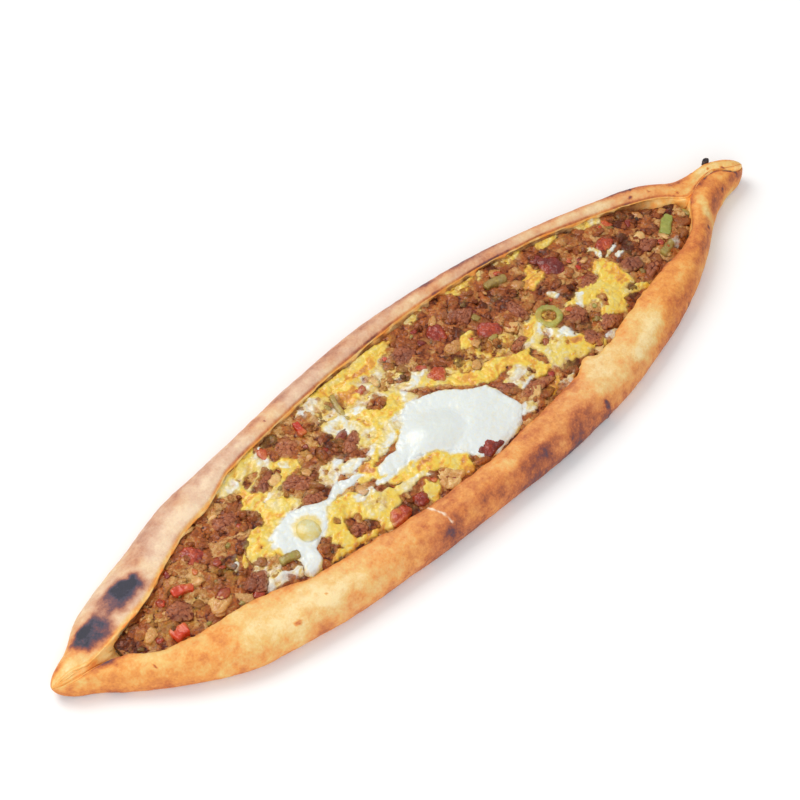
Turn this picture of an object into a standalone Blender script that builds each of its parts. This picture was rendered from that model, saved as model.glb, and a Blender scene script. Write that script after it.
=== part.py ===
"""Turkish pide: a long boat of leavened dough, baked round a heap of minced meat.

The dough is one piece. Its long edges are folded in over the filling and pressed together
at both ends. Two eggs are broken over the meat, and the larger bits of meat, tomato,
pepper and onion lie half sunk in it.

Sizes are in millimetres until a mesh is made. +X runs along the boat to the end where one
fold laps round the other, -Y is the side of the broader fold, and +Z is up. The underside
lies on z = 0, and the origin is the middle of the outline there.
"""

import math

import bmesh
import bpy
import numpy as np
from mathutils import Vector

MM = 0.001
GAP = 0.4  # between two pieces that touch
ROOM = 0.6  # from a piece to its pocket, at the piece's corners

LENGTH = 492
WIDTH = 133
RIM_HEIGHT = 20.5
FLOOR = 5.5  # dough under the filling
FILLING_RISE = 4.6  # how far the heap stands above its edges

STATIONS = 41  # cross-sections of the dough between its two rounded ends
NEAR_TIP = (2, 7.5)  # y and z of the point of each end
FAR_TIP = (10.5, 9.5)
NEAR_TIP_RADIUS = 12
FAR_TIP_RADIUS = 10
TIP_ANGLES = (25, 50, 72)  # where the round of an end has its cross-sections

SHEET_EDGE = 0.5  # half the thickness of an egg at its rim


def smooth_line(*points):
    """f(x), a curve through (x, value) points that never passes the points on its two sides.

    The slope at a point is the harmonic mean of the slopes to its neighbours, or level at a peak.
    """
    xs, values = np.array(points, float).T
    steep = np.diff(values) / np.diff(xs)
    product = np.maximum(steep[1:] * steep[:-1], 0)
    total = steep[1:] + steep[:-1]
    inner = 2 * product / np.where(product > 0, total, 1)
    slopes = np.concatenate([steep[:1], inner, steep[-1:]])

    def at(x):
        i = np.clip(np.searchsorted(xs, x) - 1, 0, len(xs) - 2)
        step = xs[i + 1] - xs[i]
        t = np.clip((x - xs[i]) / step, 0, 1)
        ends = values[i] * (1 + 2 * t) * (1 - t) ** 2 + values[i + 1] * t**2 * (3 - 2 * t)
        return ends + step * (slopes[i] * t * (1 - t) ** 2 - slopes[i + 1] * t**2 * (1 - t))

    return at


# The boat from above: how far each side reaches, and the edge of each fold.
END = LENGTH / 2
SIDE = WIDTH / 2
near_side = smooth_line(
    (-END, -3.5), (-234, -9), (-218, -22), (-198, -37), (-158, -56.3), (-100, -64.6),
    (-45, -SIDE), (20, -66), (60, -62.8), (83, -59.6), (124, -48.4), (164, -33.2),
    (186, -21), (204, -8.6), (215, -2.4), (226, 1.4), (235, 3.4), (END, 5),
)
far_side = smooth_line(
    (-END, 8), (-232, 12.5), (-216, 24.3), (-198, 31.6), (-173, 38.4), (-143, 47.8),
    (-102, 53.2), (-42, 62), (18, SIDE), (78, 62.3), (118, 54.6), (158, 45.5),
    (180, 41.6), (196, 35), (207, 28), (217, 25.2), (229, 24.2), (238, 20.5), (END, 15.5),
)
near_lip = smooth_line(
    (-END, -3.5), (-236, -5.5), (-226, -6), (-214, -9.8), (-196, -21.5), (-176, -26.8), (-156, -28.8),
    (-136, -32.3), (-116, -40), (-86, -42.8), (-46, -47), (-6, -46.8), (34, -42.3),
    (66, -37.5), (76, -32.5), (85, -35), (114, -27), (154, -16.8), (174, -12.8), (186, -7),
    (194, 0), (202.5, 9), (218.5, 13.3), (225, 13.6), (231, 10.3), (237, 7.3), (END, 6),
)
far_lip = smooth_line(
    (-END, 0.4), (-236, 0.2), (-226, -2.6), (-204, 1.2), (-186, 5.3), (-166, 14.8), (-146, 23.3),
    (-126, 28.3), (-106, 37.3), (-66, 43.8), (-26, 48.6), (34, 51.8), (74, 49.8),
    (114, 44.3), (154, 33.3), (185.5, 22.4), (193, 17.8), (198, 13), (202.5, 10.2),
    (218.5, 14.3), (225, 14.6), (231, 11.3), (237, 8.3), (END, 7),
)
near_crest = smooth_line(
    (-END, 13.5), (-215, 16), (-190, 18.5), (-150, 20), (0, RIM_HEIGHT), (150, 20),
    (190, 19), (226, 18), (238, 14.5), (END, 11),
)
far_crest = smooth_line(
    (-END, 13), (-215, 16.5), (-185, 18.5), (-150, 19.5), (0, RIM_HEIGHT), (150, 20),
    (190, 18), (205, 17), (225, 17.5), (END, 16),
)
floor = smooth_line(
    (-END, 9.5), (-228, 11), (-217, 9.5), (-206, 6.5), (-190, FLOOR), (180, FLOOR),
    (195, 6.5), (203, 11), (212, 14), (END, 13),
)
# How far the inner face of the far fold swells past its edge, or hides under it.
far_swell = smooth_line(
    (-END, 0), (-200, -1), (-150, -3), (-125, -1), (-100, 2), (-60, 3), (-20, 4.5),
    (20, 5), (45, 2.5), (70, 4), (95, 2), (115, 4.5), (140, 3.5), (155, -1), (168, 0),
    (185, 3.5), (197, 0), (END, 0),
)
NEAR_SWELL = 1
FLAT_UNDER = 205  # from here on the underside curls up towards each end
NEAR_CURL, FAR_CURL = 1.6, 3


def underside(x):
    """Height of the dough's underside: flat, then a parabola up to each end."""
    past = (np.abs(x) - FLAT_UNDER) / (END - FLAT_UNDER)
    return np.where(x < 0, NEAR_CURL, FAR_CURL) * np.maximum(past, 0) ** 2


# Half of the dough's cross-section. Outside: part of the fold's width in from its widest
# point, part of its height. Edge: the same width, and height from floor to crest. Inside:
# distance past the edge beyond the swell, height as on the edge, part of the gap it may fill.
OUTSIDE = (
    (0.45, 0), (0.24, 0.025), (0.09, 0.12), (0.012, 0.27), (0, 0.42), (0.05, 0.6),
    (0.2, 0.83), (0.42, 0.97), (0.66, 1), (0.86, 0.965),
)
EDGE = ((0.97, 0.88), (1, 0.82), (0.965, 0.74))
INSIDE = ((0, 0.42, 0.5), (0.8, 0.15, 0.65), (3, 0, 0.8))


def round_ends(x, y, z):
    """Draws a cross-section in towards the point of the boat's end, as a quarter circle does."""
    for tip, radius, at in ((-END, NEAR_TIP_RADIUS, NEAR_TIP), (END, FAR_TIP_RADIUS, FAR_TIP)):
        into = np.clip(1 - np.abs(x - tip) / radius, 0, 1)
        scale = np.sqrt(1 - into**2)[:, None]
        y = at[0] + (y - at[0]) * scale
        z = at[1] + (z - at[1]) * scale
    return y, z


def half_section(x, side, lip, crest, swell):
    """y and z of one half of each cross-section, from under the boat over the fold to its floor."""
    inward = np.sign(lip - side)
    width = np.abs(lip - side)
    half_gap = (far_lip(x) - near_lip(x)) / 2
    low, bed = underside(x), floor(x)
    rows = [(part * width, low + up * (crest - low)) for part, up in OUTSIDE]
    rows += [(part * width, bed + up * (crest - bed)) for part, up in EDGE]
    for past, up, limit in INSIDE:
        rows.append((width + np.minimum(swell + past, limit * half_gap), bed + up * (crest - bed)))
    y = np.stack([side + inward * row[0] for row in rows], axis=1)
    return y, np.stack([row[1] for row in rows], axis=1)


def crust_sections(x):
    """The dough's closed cross-sections, one row of points for each x."""
    near_y, near_z = half_section(x, near_side(x), near_lip(x), near_crest(x), NEAR_SWELL)
    far_y, far_z = half_section(x, far_side(x), far_lip(x), far_crest(x), far_swell(x))
    base_y = (near_y[:, :1] + far_y[:, :1]) / 2
    floor_y = (near_y[:, -1:] + far_y[:, -1:]) / 2
    y = np.hstack([base_y, near_y, floor_y, far_y[:, ::-1]])
    z = np.hstack([underside(x)[:, None], near_z, floor(x)[:, None], far_z[:, ::-1]])
    y, z = round_ends(x, y, z)
    return np.stack([np.broadcast_to(x[:, None], y.shape), y, z], axis=2)


def stations():
    """x of each cross-section: even along the boat, closer together round its two ends."""
    rise = 1 - np.cos(np.radians(TIP_ANGLES))
    start = -END + NEAR_TIP_RADIUS * rise
    stop = END - FAR_TIP_RADIUS * rise[::-1]
    middle = np.linspace(-END + NEAR_TIP_RADIUS, END - FAR_TIP_RADIUS, STATIONS)
    return np.concatenate([start, middle, stop])


# The filling fills the trough, GAP clear of the dough.
FILLING_START, FILLING_END = -214, 198
WALL = len(OUTSIDE) + len(EDGE)  # the point of a half section where the filling's top meets it
filling_rise = smooth_line(
    (FILLING_START, 1.5), (-180, 3), (-120, 3.6), (-60, FILLING_RISE), (60, FILLING_RISE),
    (120, 4), (170, 3), (FILLING_END, 1.5),
)


def trough(x):
    """y of the two walls where the filling's top meets them, and z there."""
    near_y, near_z = half_section(x, near_side(x), near_lip(x), near_crest(x), NEAR_SWELL)
    far_y, _ = half_section(x, far_side(x), far_lip(x), far_crest(x), far_swell(x))
    return near_y[:, WALL] + GAP, far_y[:, WALL] - GAP, near_z[:, WALL]


def filling_top(x, y):
    """Height of the heap: a crown across the trough, with the low swells of a spooned filling."""
    near, far, edge = trough(x)
    across = np.clip(2 * (y - near) / (far - near) - 1, -1, 1)
    swells = np.sin(x / 5.3 + 1.3 * np.sin(y / 7.1)) + np.sin(y / 4.1 + x / 11.7)
    return edge + filling_rise(x) * (1 - np.abs(across) ** 3) + 0.4 * swells * (1 - across**4)


def height_at(x, y):
    return float(filling_top(np.array([float(x)]), np.array([float(y)]))[0])


def skin(name, sections, first=None, last=None, closed=False):
    """A mesh over closed cross-sections. Its ends run to a point, or it closes on itself."""
    mesh = bmesh.new()
    rows = [[mesh.verts.new(MM * np.array(p)) for p in section] for section in sections]
    pairs = list(zip(rows, rows[1:]))
    if closed:
        pairs.append((rows[-1], rows[0]))
    for one, two in pairs:
        for i in range(len(one)):
            mesh.faces.new((one[i - 1], one[i], two[i], two[i - 1]))
    if not closed:
        for row, point in ((rows[0], first), (rows[-1], last)):
            tip = mesh.verts.new(MM * np.array(point))
            for i in range(len(row)):
                mesh.faces.new((row[i - 1], row[i], tip))
    bmesh.ops.recalc_face_normals(mesh, faces=mesh.faces)
    data = bpy.data.meshes.new(name)
    mesh.to_mesh(data)
    mesh.free()
    return data


def material(name, colour, roughness):
    """A Principled material with the piece's plain colour."""
    made = bpy.data.materials.new(name)
    made.use_nodes = True
    shader = made.node_tree.nodes["Principled BSDF"]
    shader.inputs["Base Color"].default_value = (*colour, 1)
    shader.inputs["Roughness"].default_value = roughness
    shader.inputs["Metallic"].default_value = 0
    return made


def place(name, data, look, at=(0, 0, 0), turn=0):
    """An object with its mesh smooth, at a place in millimetres and turned about the vertical."""
    made = bpy.data.objects.new(name, data)
    bpy.context.scene.collection.objects.link(made)
    data.materials.append(look)
    data.shade_smooth()
    data.set_sharp_from_angle(angle=math.radians(50))
    made.location = [MM * value for value in at]
    made.rotation_euler.z = math.radians(turn)
    return made


def make_crust(look):
    sections = crust_sections(stations())
    tips = (-END, *NEAR_TIP), (END, *FAR_TIP)
    return place("crust", skin("crust", sections, *tips), look)


TOP_POINTS = np.array([-0.95, -0.8, -0.5, -0.17, 0.17, 0.5, 0.8, 0.95])


def make_filling(look):
    """The heap of minced meat, one solid from the floor of the dough to its uneven top."""
    x = stations()
    x = x[(x > FILLING_START) & (x < FILLING_END)]
    near, far, edge = trough(x)
    near_y, near_z = half_section(x, near_side(x), near_lip(x), near_crest(x), NEAR_SWELL)
    far_y, far_z = half_section(x, far_side(x), far_lip(x), far_crest(x), far_swell(x))
    bed = floor(x) + GAP
    across = (near + far)[:, None] / 2 + (far - near)[:, None] / 2 * TOP_POINTS
    top = np.stack([filling_top(x, column) for column in across.T], axis=1)
    y = np.column_stack([
        (near + far) / 2, near_y[:, WALL + 2], near_y[:, WALL + 1] + GAP, near, across,
        far, far_y[:, WALL + 1] - GAP, far_y[:, WALL + 2],
    ])
    z = np.column_stack([bed, bed, near_z[:, WALL + 1], edge, top, edge, far_z[:, WALL + 1], bed])
    sections = np.stack([np.broadcast_to(x[:, None], y.shape), y, z], axis=2)
    ends = [sections[i].mean(axis=0) for i in (0, -1)]
    return place("filling", skin("filling", sections, *ends), look)


# Each egg: its middle, and its outline as (degrees from +X, millimetres from the middle).
EGG_THICKNESS = 2.2
LARGE_WHITE = (-2, -16), (
    (0, 33), (30, 23), (60, 21.5), (90, 22.5), (120, 26), (150, 29), (172, 40), (185, 41),
    (207, 21), (240, 18), (270, 17.5), (300, 28), (330, 40),
)
SMALL_WHITE = (-104, -14), (
    (0, 21), (8, 41), (17, 28), (28, 17), (60, 14), (110, 12), (150, 14.5), (180, 16),
    (210, 15.5), (235, 21), (252, 23), (275, 15), (300, 12), (330, 13),
)
# Yolk under the large white lifts it: middle, reach and height of the bulge.
BULGE = (-10, -15, 13, 3.2)
# The set yolk of the small egg: middle, diameter, height of its top over the heap, depth below.
YOLK = (-99.8, -15.4, 15, 4, 2.5)
# Patches of broken yolk: middle, length, width, turn.
YOLK_PATCHES = (
    (-113, 12, 33, 11, 88), (-22, 37, 26, 10, 4), (41, -5.5, 22, 7, -8),
    (73, -17, 23, 18, 35), (119, -8.5, 28, 12, 6), (-31, -28.5, 25, 5, -20),
)


def bulge(x, y):
    at_x, at_y, reach, height = BULGE
    return height * np.exp(-((x - at_x) ** 2 + (y - at_y) ** 2) / reach**2)


def rim_through(outline, segments):
    """Points round the middle of a sheet, on a smooth closed curve through (degrees, reach)."""
    before = [(angle - 360, reach) for angle, reach in outline]
    after = [(angle + 360, reach) for angle, reach in outline]
    degrees = 360 * np.arange(segments) / segments
    reach = smooth_line(*before, *outline, *after)(degrees)
    return np.stack([reach * np.cos(np.radians(degrees)), reach * np.sin(np.radians(degrees))])


def oval_rim(length, width, turn, phase):
    """Points round an oval patch with a wavy edge, turned by some degrees."""
    angle = 2 * np.pi * np.arange(10) / 10
    wave = 0.5 + 0.045 * np.sin(5 * angle + phase)
    along, across = length * wave * np.cos(angle), width * wave * np.sin(angle)
    c, s = math.cos(math.radians(turn)), math.sin(math.radians(turn))
    return np.stack([c * along - s * across, s * along + c * across])


def make_sheet(name, middle, rim, parts, thickness, look, lift=None):
    """A set egg: it follows the heap below, thins to a round rim and may stand over a bulge."""

    def ring(part, height):
        x = middle[0] + part * rim[0]
        y = middle[1] + part * rim[1]
        z = filling_top(x, y) + height
        if lift and height > 0:
            z += lift(x, y)
        return np.stack([x, y, z], axis=1)

    sections = [ring(part, thickness * (1 - part**3) + SHEET_EDGE) for part in parts]
    sections += [ring(1, 0.01), ring(0.99, -2 * SHEET_EDGE)]
    summit = height_at(*middle) + thickness + SHEET_EDGE
    if lift:
        summit += lift(*middle)
    first = (*middle, summit)
    last = (*middle, height_at(*middle) - 2 * SHEET_EDGE - thickness)
    return place(name, skin(name, sections, first, last), look)


def make_yolk(look):
    """A set yolk, a flattened ball that stands out of its white."""
    x, y, across, above, below = YOLK
    turn = 2 * np.pi * np.arange(12) / 12
    sections = []
    for latitude in np.radians([60, 30, 0, -45]):
        out = across / 2 * np.cos(latitude)
        up = (above if latitude >= 0 else below) * np.sin(latitude)
        sections.append(np.stack([out * np.cos(turn), out * np.sin(turn), np.full(12, up)], axis=1))
    data = skin("egg_yolk", sections, (0, 0, above), (0, 0, -below))
    return place("egg_yolk", data, look, (x, y, height_at(x, y)))


def make_patch(name, x, y, length, width, turn, look):
    """A patch of broken yolk."""
    rim = oval_rim(length, width, turn, phase=x)
    return make_sheet(name, (x, y), rim, (0.6,), 0.5 * EGG_THICKNESS, look)


# The larger bits in the filling: kind, x, y, length, width, turn. A pepper has its bend too.
LUMPS = (
    ("tomato", 2.2, -39, 15, 10, 0), ("tomato", 34, 34.5, 15, 12, 80),
    ("tomato", 55, 15.5, 15, 12, -30), ("tomato", 110, 25.5, 15, 14, 0),
    ("tomato", 143.5, 18, 13, 9, 0), ("tomato", -151.5, 13, 13, 12, 70),
    ("tomato", -59, -38, 12, 9.5, 0), ("tomato", -45, -39, 9, 9, 0),
    ("tomato", 13.5, 11.5, 11, 10, 0),
    ("meat", -84.8, 8.5, 17, 11, -30), ("meat", -87, -3, 12, 7.5, -25),
    ("meat", -49.8, 9.6, 20, 9, 35), ("meat", -96.5, 20.5, 17, 6.5, 25),
    ("meat", -79.6, -31.5, 11, 9, 0), ("meat", 10, 34.5, 15, 13, 0),
    ("meat", 50, 32, 13, 14, 0), ("meat", 45, -27, 24, 7.5, -3),
    ("meat", 34.5, -17, 12, 8, -50), ("meat", 59.5, -1, 11, 6.5, 0),
    ("meat", 118, 5, 15, 11, 0), ("meat", 96, -7.5, 14, 11, 0),
    ("meat", 92.5, -23.5, 12, 11, 0), ("meat", 106, -21, 13, 9, 0),
    ("meat", 143, -2, 15, 12, 0), ("meat", 152, -11.5, 14, 7, 15),
    ("meat", -176.8, -9.5, 14, 13, 0), ("meat", -74, 30.5, 18, 12, 0),
    ("meat", -127, 17, 13, 12, 0), ("meat", 161, 2, 12, 9, 0),
    ("meat", 75, 15, 15, 8, 85), ("meat", -137, -20.5, 14, 12, 0),
    ("onion", -194, -8.5, 11, 7, 30), ("onion", -158, -17.5, 14, 10, 0),
    ("onion", -25, -38, 13, 11, 0), ("onion", 32, 19.5, 9, 8, 0),
)
STRIPS = (
    ("red_pepper", -183.5, -18, 9, 7, 0, 20), ("red_pepper", -167.5, -0.4, 12, 5, -20, 40),
    ("red_pepper", -62, 34.5, 10, 4.5, 80, 15), ("green_pepper", 179, 5.5, 15, 6, 35, 20),
    ("green_pepper", 84, 1, 37, 3, 0, 360), ("green_pepper", -117, -21.5, 11, 5, -15, 10),
    ("green_pepper", -38.3, 31, 20, 4, 80, 40), ("green_pepper", 80, 38, 14, 5, -12, 25),
    ("green_pepper", 168, -6.5, 13, 4, 15, 20),
)
HEIGHTS = {"tomato": 7, "meat": 7, "onion": 6, "red_pepper": 4.5, "green_pepper": 4.5}
LUMP_LATITUDES = np.radians([42, -8])
LUMP_SEGMENTS = 8
UNEVENNESS = 0.13


def make_lump(name, kind, x, y, length, width, turn, look, random):
    """A rough rounded piece: an ellipsoid whose points are moved in and out at random."""
    around = 2 * np.pi * np.arange(LUMP_SEGMENTS) / LUMP_SEGMENTS
    size = np.array([length, width, HEIGHTS[kind]]) / 2

    def ring(latitude):
        shape = np.stack([
            np.cos(latitude) * np.cos(around), np.cos(latitude) * np.sin(around),
            np.full(LUMP_SEGMENTS, np.sin(latitude)),
        ], axis=1)
        return shape * size * (1 + UNEVENNESS * random.uniform(-1, 0.4, (LUMP_SEGMENTS, 1)))

    sections = [ring(latitude) for latitude in LUMP_LATITUDES]
    data = skin(name, sections, (0, 0, 0.93 * size[2]), (0, 0, -0.8 * size[2]))
    return place(name, data, look, (x, y, height_at(x, y)), turn)


def make_strip(name, kind, x, y, length, width, turn, bend, look):
    """A cut strip of pepper, four-sided and bent on the flat along an arc; 360 degrees is a ring."""
    closed = bend == 360
    radius = length / math.radians(bend)
    count = 10 if closed else 4
    angles = np.radians(bend) * (np.arange(count) / (count if closed else count - 1) - 0.5)
    out = np.array([0.5, 0.4, -0.4, -0.5]) * width
    up = np.array([-0.5, 0.5, 0.5, -0.5]) * HEIGHTS[kind]
    middle = 0 if closed else radius

    def point(angle, away, height):
        return (radius + away) * np.sin(angle), (radius + away) * np.cos(angle) - middle, height

    sections = [np.array([point(angle, *side) for side in zip(out, up)]) for angle in angles]
    tips = [point(angle * (1 + 0.2 * width / length), 0, 0) for angle in angles[[0, -1]]]
    data = skin(name, sections, *tips, closed=closed)
    return place(name, data, look, (x, y, height_at(x, y) + 0.3), turn)


def cut_pocket(carrier, pieces):
    """Cuts room for each piece that lies in the carrier, a little wider than the piece all round."""
    pockets = bpy.data.collections.new(f"pockets in {carrier.name}")
    bpy.context.scene.collection.children.link(pockets)
    for piece in pieces:
        cutter = bpy.data.objects.new(f"{piece.name} in {carrier.name}", piece.data)
        cutter.matrix_world = piece.matrix_world
        cutter.hide_render = True
        cutter.display_type = "WIRE"
        pockets.objects.link(cutter)
        swell = cutter.modifiers.new("room", "DISPLACE")
        swell.mid_level = 0
        swell.strength = ROOM * MM
    cut = carrier.modifiers.new("pockets", "BOOLEAN")
    cut.operation = "DIFFERENCE"
    cut.operand_type = "COLLECTION"
    cut.collection = pockets


def overlap(one, two):
    """Whether the boxes round two objects meet, seen from above."""
    boxes = []
    for piece in (one, two):
        corners = np.array([piece.matrix_world @ Vector(corner) for corner in piece.bound_box])
        boxes.append((corners.min(axis=0), corners.max(axis=0)))
    (low, high), (other_low, other_high) = boxes
    return bool((low[:2] < other_high[:2]).all() and (other_low[:2] < high[:2]).all())


for old in list(bpy.data.objects):
    bpy.data.objects.remove(old)

looks = {
    "crust": material("baked dough", (0.76, 0.40, 0.15), 0.7),
    "filling": material("minced meat", (0.30, 0.115, 0.04), 0.5),
    "white": material("egg white", (0.86, 0.87, 0.82), 0.3),
    "yolk": material("egg yolk", (0.85, 0.60, 0.06), 0.4),
    "tomato": material("tomato", (0.42, 0.05, 0.02), 0.25),
    "meat": material("meat", (0.25, 0.08, 0.04), 0.5),
    "onion": material("onion", (0.55, 0.36, 0.14), 0.4),
    "red_pepper": material("red pepper", (0.68, 0.07, 0.02), 0.3),
    "green_pepper": material("green pepper", (0.28, 0.33, 0.04), 0.35),
}

make_crust(looks["crust"])
filling = make_filling(looks["filling"])

sheets = []
for name, (middle, outline), segments, parts, lift in (
    ("egg_white_large", LARGE_WHITE, 20, (0.45, 0.8), bulge),
    ("egg_white_small", SMALL_WHITE, 24, (0.6,), None),
):
    rim = rim_through(outline, segments)
    sheets.append(make_sheet(name, middle, rim, parts, EGG_THICKNESS, looks["white"], lift))
for i, row in enumerate(YOLK_PATCHES, 1):
    sheets.append(make_patch(f"egg_yolk_patch_{i}", *row, looks["yolk"]))

chance = np.random.default_rng(7)
bits = [make_yolk(looks["yolk"])]
for kind in HEIGHTS:
    for i, row in enumerate((row for row in LUMPS if row[0] == kind), 1):
        bits.append(make_lump(f"{kind}_{i:02}", *row, looks[kind], chance))
    for i, row in enumerate((row for row in STRIPS if row[0] == kind), 1):
        bits.append(make_strip(f"{kind}_{i:02}", *row, looks[kind]))

bpy.context.view_layer.update()
cut_pocket(filling, sheets + bits)
for sheet in sheets:
    cut_pocket(sheet, [piece for piece in bits if overlap(piece, sheet)])
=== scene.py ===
import itertools
import math

import bpy
import numpy as np
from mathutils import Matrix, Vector


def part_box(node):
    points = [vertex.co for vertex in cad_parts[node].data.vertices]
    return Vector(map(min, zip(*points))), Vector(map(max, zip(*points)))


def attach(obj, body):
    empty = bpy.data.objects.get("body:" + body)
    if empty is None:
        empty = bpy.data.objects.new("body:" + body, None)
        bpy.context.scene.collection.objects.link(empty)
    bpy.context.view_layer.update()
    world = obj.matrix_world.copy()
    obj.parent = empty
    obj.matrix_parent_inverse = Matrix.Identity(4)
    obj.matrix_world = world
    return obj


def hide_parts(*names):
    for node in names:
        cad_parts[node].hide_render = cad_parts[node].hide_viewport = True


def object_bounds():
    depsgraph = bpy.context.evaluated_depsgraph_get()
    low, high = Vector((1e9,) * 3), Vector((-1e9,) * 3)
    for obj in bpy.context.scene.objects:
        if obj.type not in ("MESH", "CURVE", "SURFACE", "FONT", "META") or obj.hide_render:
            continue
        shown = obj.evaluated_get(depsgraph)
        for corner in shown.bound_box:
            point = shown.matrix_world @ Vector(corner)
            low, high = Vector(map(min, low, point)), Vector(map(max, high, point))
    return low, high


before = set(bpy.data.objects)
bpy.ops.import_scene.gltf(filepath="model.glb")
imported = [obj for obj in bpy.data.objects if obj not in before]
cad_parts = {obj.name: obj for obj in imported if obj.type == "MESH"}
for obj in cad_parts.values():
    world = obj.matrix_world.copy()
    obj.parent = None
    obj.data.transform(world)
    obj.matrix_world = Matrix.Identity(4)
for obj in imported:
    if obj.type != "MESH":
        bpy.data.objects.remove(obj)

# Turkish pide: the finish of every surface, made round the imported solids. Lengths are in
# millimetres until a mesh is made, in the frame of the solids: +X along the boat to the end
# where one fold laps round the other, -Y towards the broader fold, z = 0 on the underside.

cad_low, cad_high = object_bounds()

# --- Camera ---------------------------------------------------------------------------------
# A long lens looks down on the boat from beside its broader fold, with the near end to the
# lower left and the lapped end to the upper right.
AZIMUTH, ELEVATION = math.radians(-42.62), math.radians(52)
DISTANCE = 1.2  # metres from the point it looks at
AIM = Vector((-0.0096, 0.0156, 0.0012))  # that point, from the middle of the boat
LENS = 104.5

camera = bpy.data.objects.new("camera", bpy.data.cameras.new("camera"))
bpy.context.scene.collection.objects.link(camera)
bpy.context.scene.camera = camera
away = Vector((
    math.sin(AZIMUTH) * math.cos(ELEVATION),
    -math.cos(AZIMUTH) * math.cos(ELEVATION),
    math.sin(ELEVATION),
))
camera.location = (cad_low + cad_high) / 2 + AIM + DISTANCE * away
camera.rotation_euler = (-away).to_track_quat("-Z", "Y").to_euler()
camera.data.lens = LENS
camera.data.clip_start, camera.data.clip_end = 0.05, 20

# --- Studio ---------------------------------------------------------------------------------
# A pale floor under an even white sky, with one large soft lamp high behind the far fold and
# a weak one on the camera's side.
SKY = 0.6
LAMPS = (
    # name, place, width, watts, colour
    ("key", (-0.25, 1.0, 1.5), 1.1, 18, (1, 0.97, 0.93)),
    ("fill", (-0.9, -1.0, 1.0), 1.2, 11, (0.97, 0.98, 1)),
)
FLOOR_GREY, FLOOR_REACH = 0.93, 4  # its colour, and metres to each side


def paint(red, green, blue):
    """A colour given as 0 to 255 on the screen, as the light it stands for."""
    screen = np.array([red, green, blue]) / 255
    light = np.where(screen < 0.04045, screen / 12.92, ((screen + 0.055) / 1.055) ** 2.4)
    return (*light, 1)


scene = bpy.context.scene
scene.view_settings.view_transform = "Standard"
scene.world = bpy.data.worlds.new("sky")
scene.world.use_nodes = True
scene.world.node_tree.nodes["Background"].inputs["Strength"].default_value = SKY
scene.world.node_tree.nodes["Background"].inputs["Color"].default_value = (1, 1, 1, 1)
for name, place, width, watts, colour in LAMPS:
    lamp = bpy.data.objects.new(name, bpy.data.lights.new(name, "AREA"))
    lamp.data.size, lamp.data.energy, lamp.data.color = width, watts, colour
    lamp.location = place
    lamp.rotation_euler = (-Vector(place)).to_track_quat("-Z", "Y").to_euler()
    scene.collection.objects.link(lamp)

floor_mesh = bpy.data.meshes.new("floor")
corners = [(-1, -1), (1, -1), (1, 1), (-1, 1)]
floor_mesh.from_pydata(
    [(FLOOR_REACH * x, FLOOR_REACH * y, 0) for x, y in corners], [], [(0, 1, 2, 3)]
)
floor_paint = bpy.data.materials.new("pale floor")
floor_paint.use_nodes = True
floor_shader = floor_paint.node_tree.nodes["Principled BSDF"]
floor_shader.inputs["Base Color"].default_value = (FLOOR_GREY, FLOOR_GREY, FLOOR_GREY, 1)
floor_shader.inputs["Roughness"].default_value = 0.9
floor_mesh.materials.append(floor_paint)
stage_floor = bpy.data.objects.new("stage_floor", floor_mesh)
scene.collection.objects.link(stage_floor)

# --- Dough ----------------------------------------------------------------------------------
# One sheet of leavened dough whose long edges are folded in over the filling and pressed
# together at both ends, then baked on a hot stone: golden near the filling, browner where it
# bulges, dusted with flour on the far fold and burnt black in places.
MM = 0.001
crust_low, crust_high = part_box("crust")
END = crust_high.x / MM
SIDE = -crust_low.y / MM
RIM_HEIGHT = crust_high.z / MM
NEAR_TIP = (2, 7.5)  # y and z of the point of each end
FAR_TIP = (10.5, 9.5)
NEAR_TIP_RADIUS, FAR_TIP_RADIUS = 12, 10


def smooth_curve(knots, values, at):
    """Cubic curve through the last axis of values that never passes the values on its two sides.

    Its slope at a knot is the harmonic mean of the slopes to its neighbours, or level at a peak.
    """
    steps = np.diff(knots)
    steep = np.diff(values, axis=-1) / steps
    product = np.maximum(steep[..., 1:] * steep[..., :-1], 0)
    total = steep[..., 1:] + steep[..., :-1]
    inner = 2 * product / np.where(product > 0, total, 1)
    slopes = np.concatenate([steep[..., :1], inner, steep[..., -1:]], axis=-1)
    i = np.clip(np.searchsorted(knots, at) - 1, 0, len(knots) - 2)
    t = np.clip((at - knots[i]) / steps[i], 0, 1)
    ends = values[..., i] * (1 + 2 * t) * (1 - t) ** 2 + values[..., i + 1] * t**2 * (3 - 2 * t)
    leave, arrive = slopes[..., i] * t * (1 - t) ** 2, slopes[..., i + 1] * t**2 * (1 - t)
    return ends + steps[i] * (leave - arrive)


def line(*points):
    """f(x), the smooth curve through (x, value) points."""
    knots, values = np.array(points, float).T
    return lambda x: smooth_curve(knots, values, x)


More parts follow.
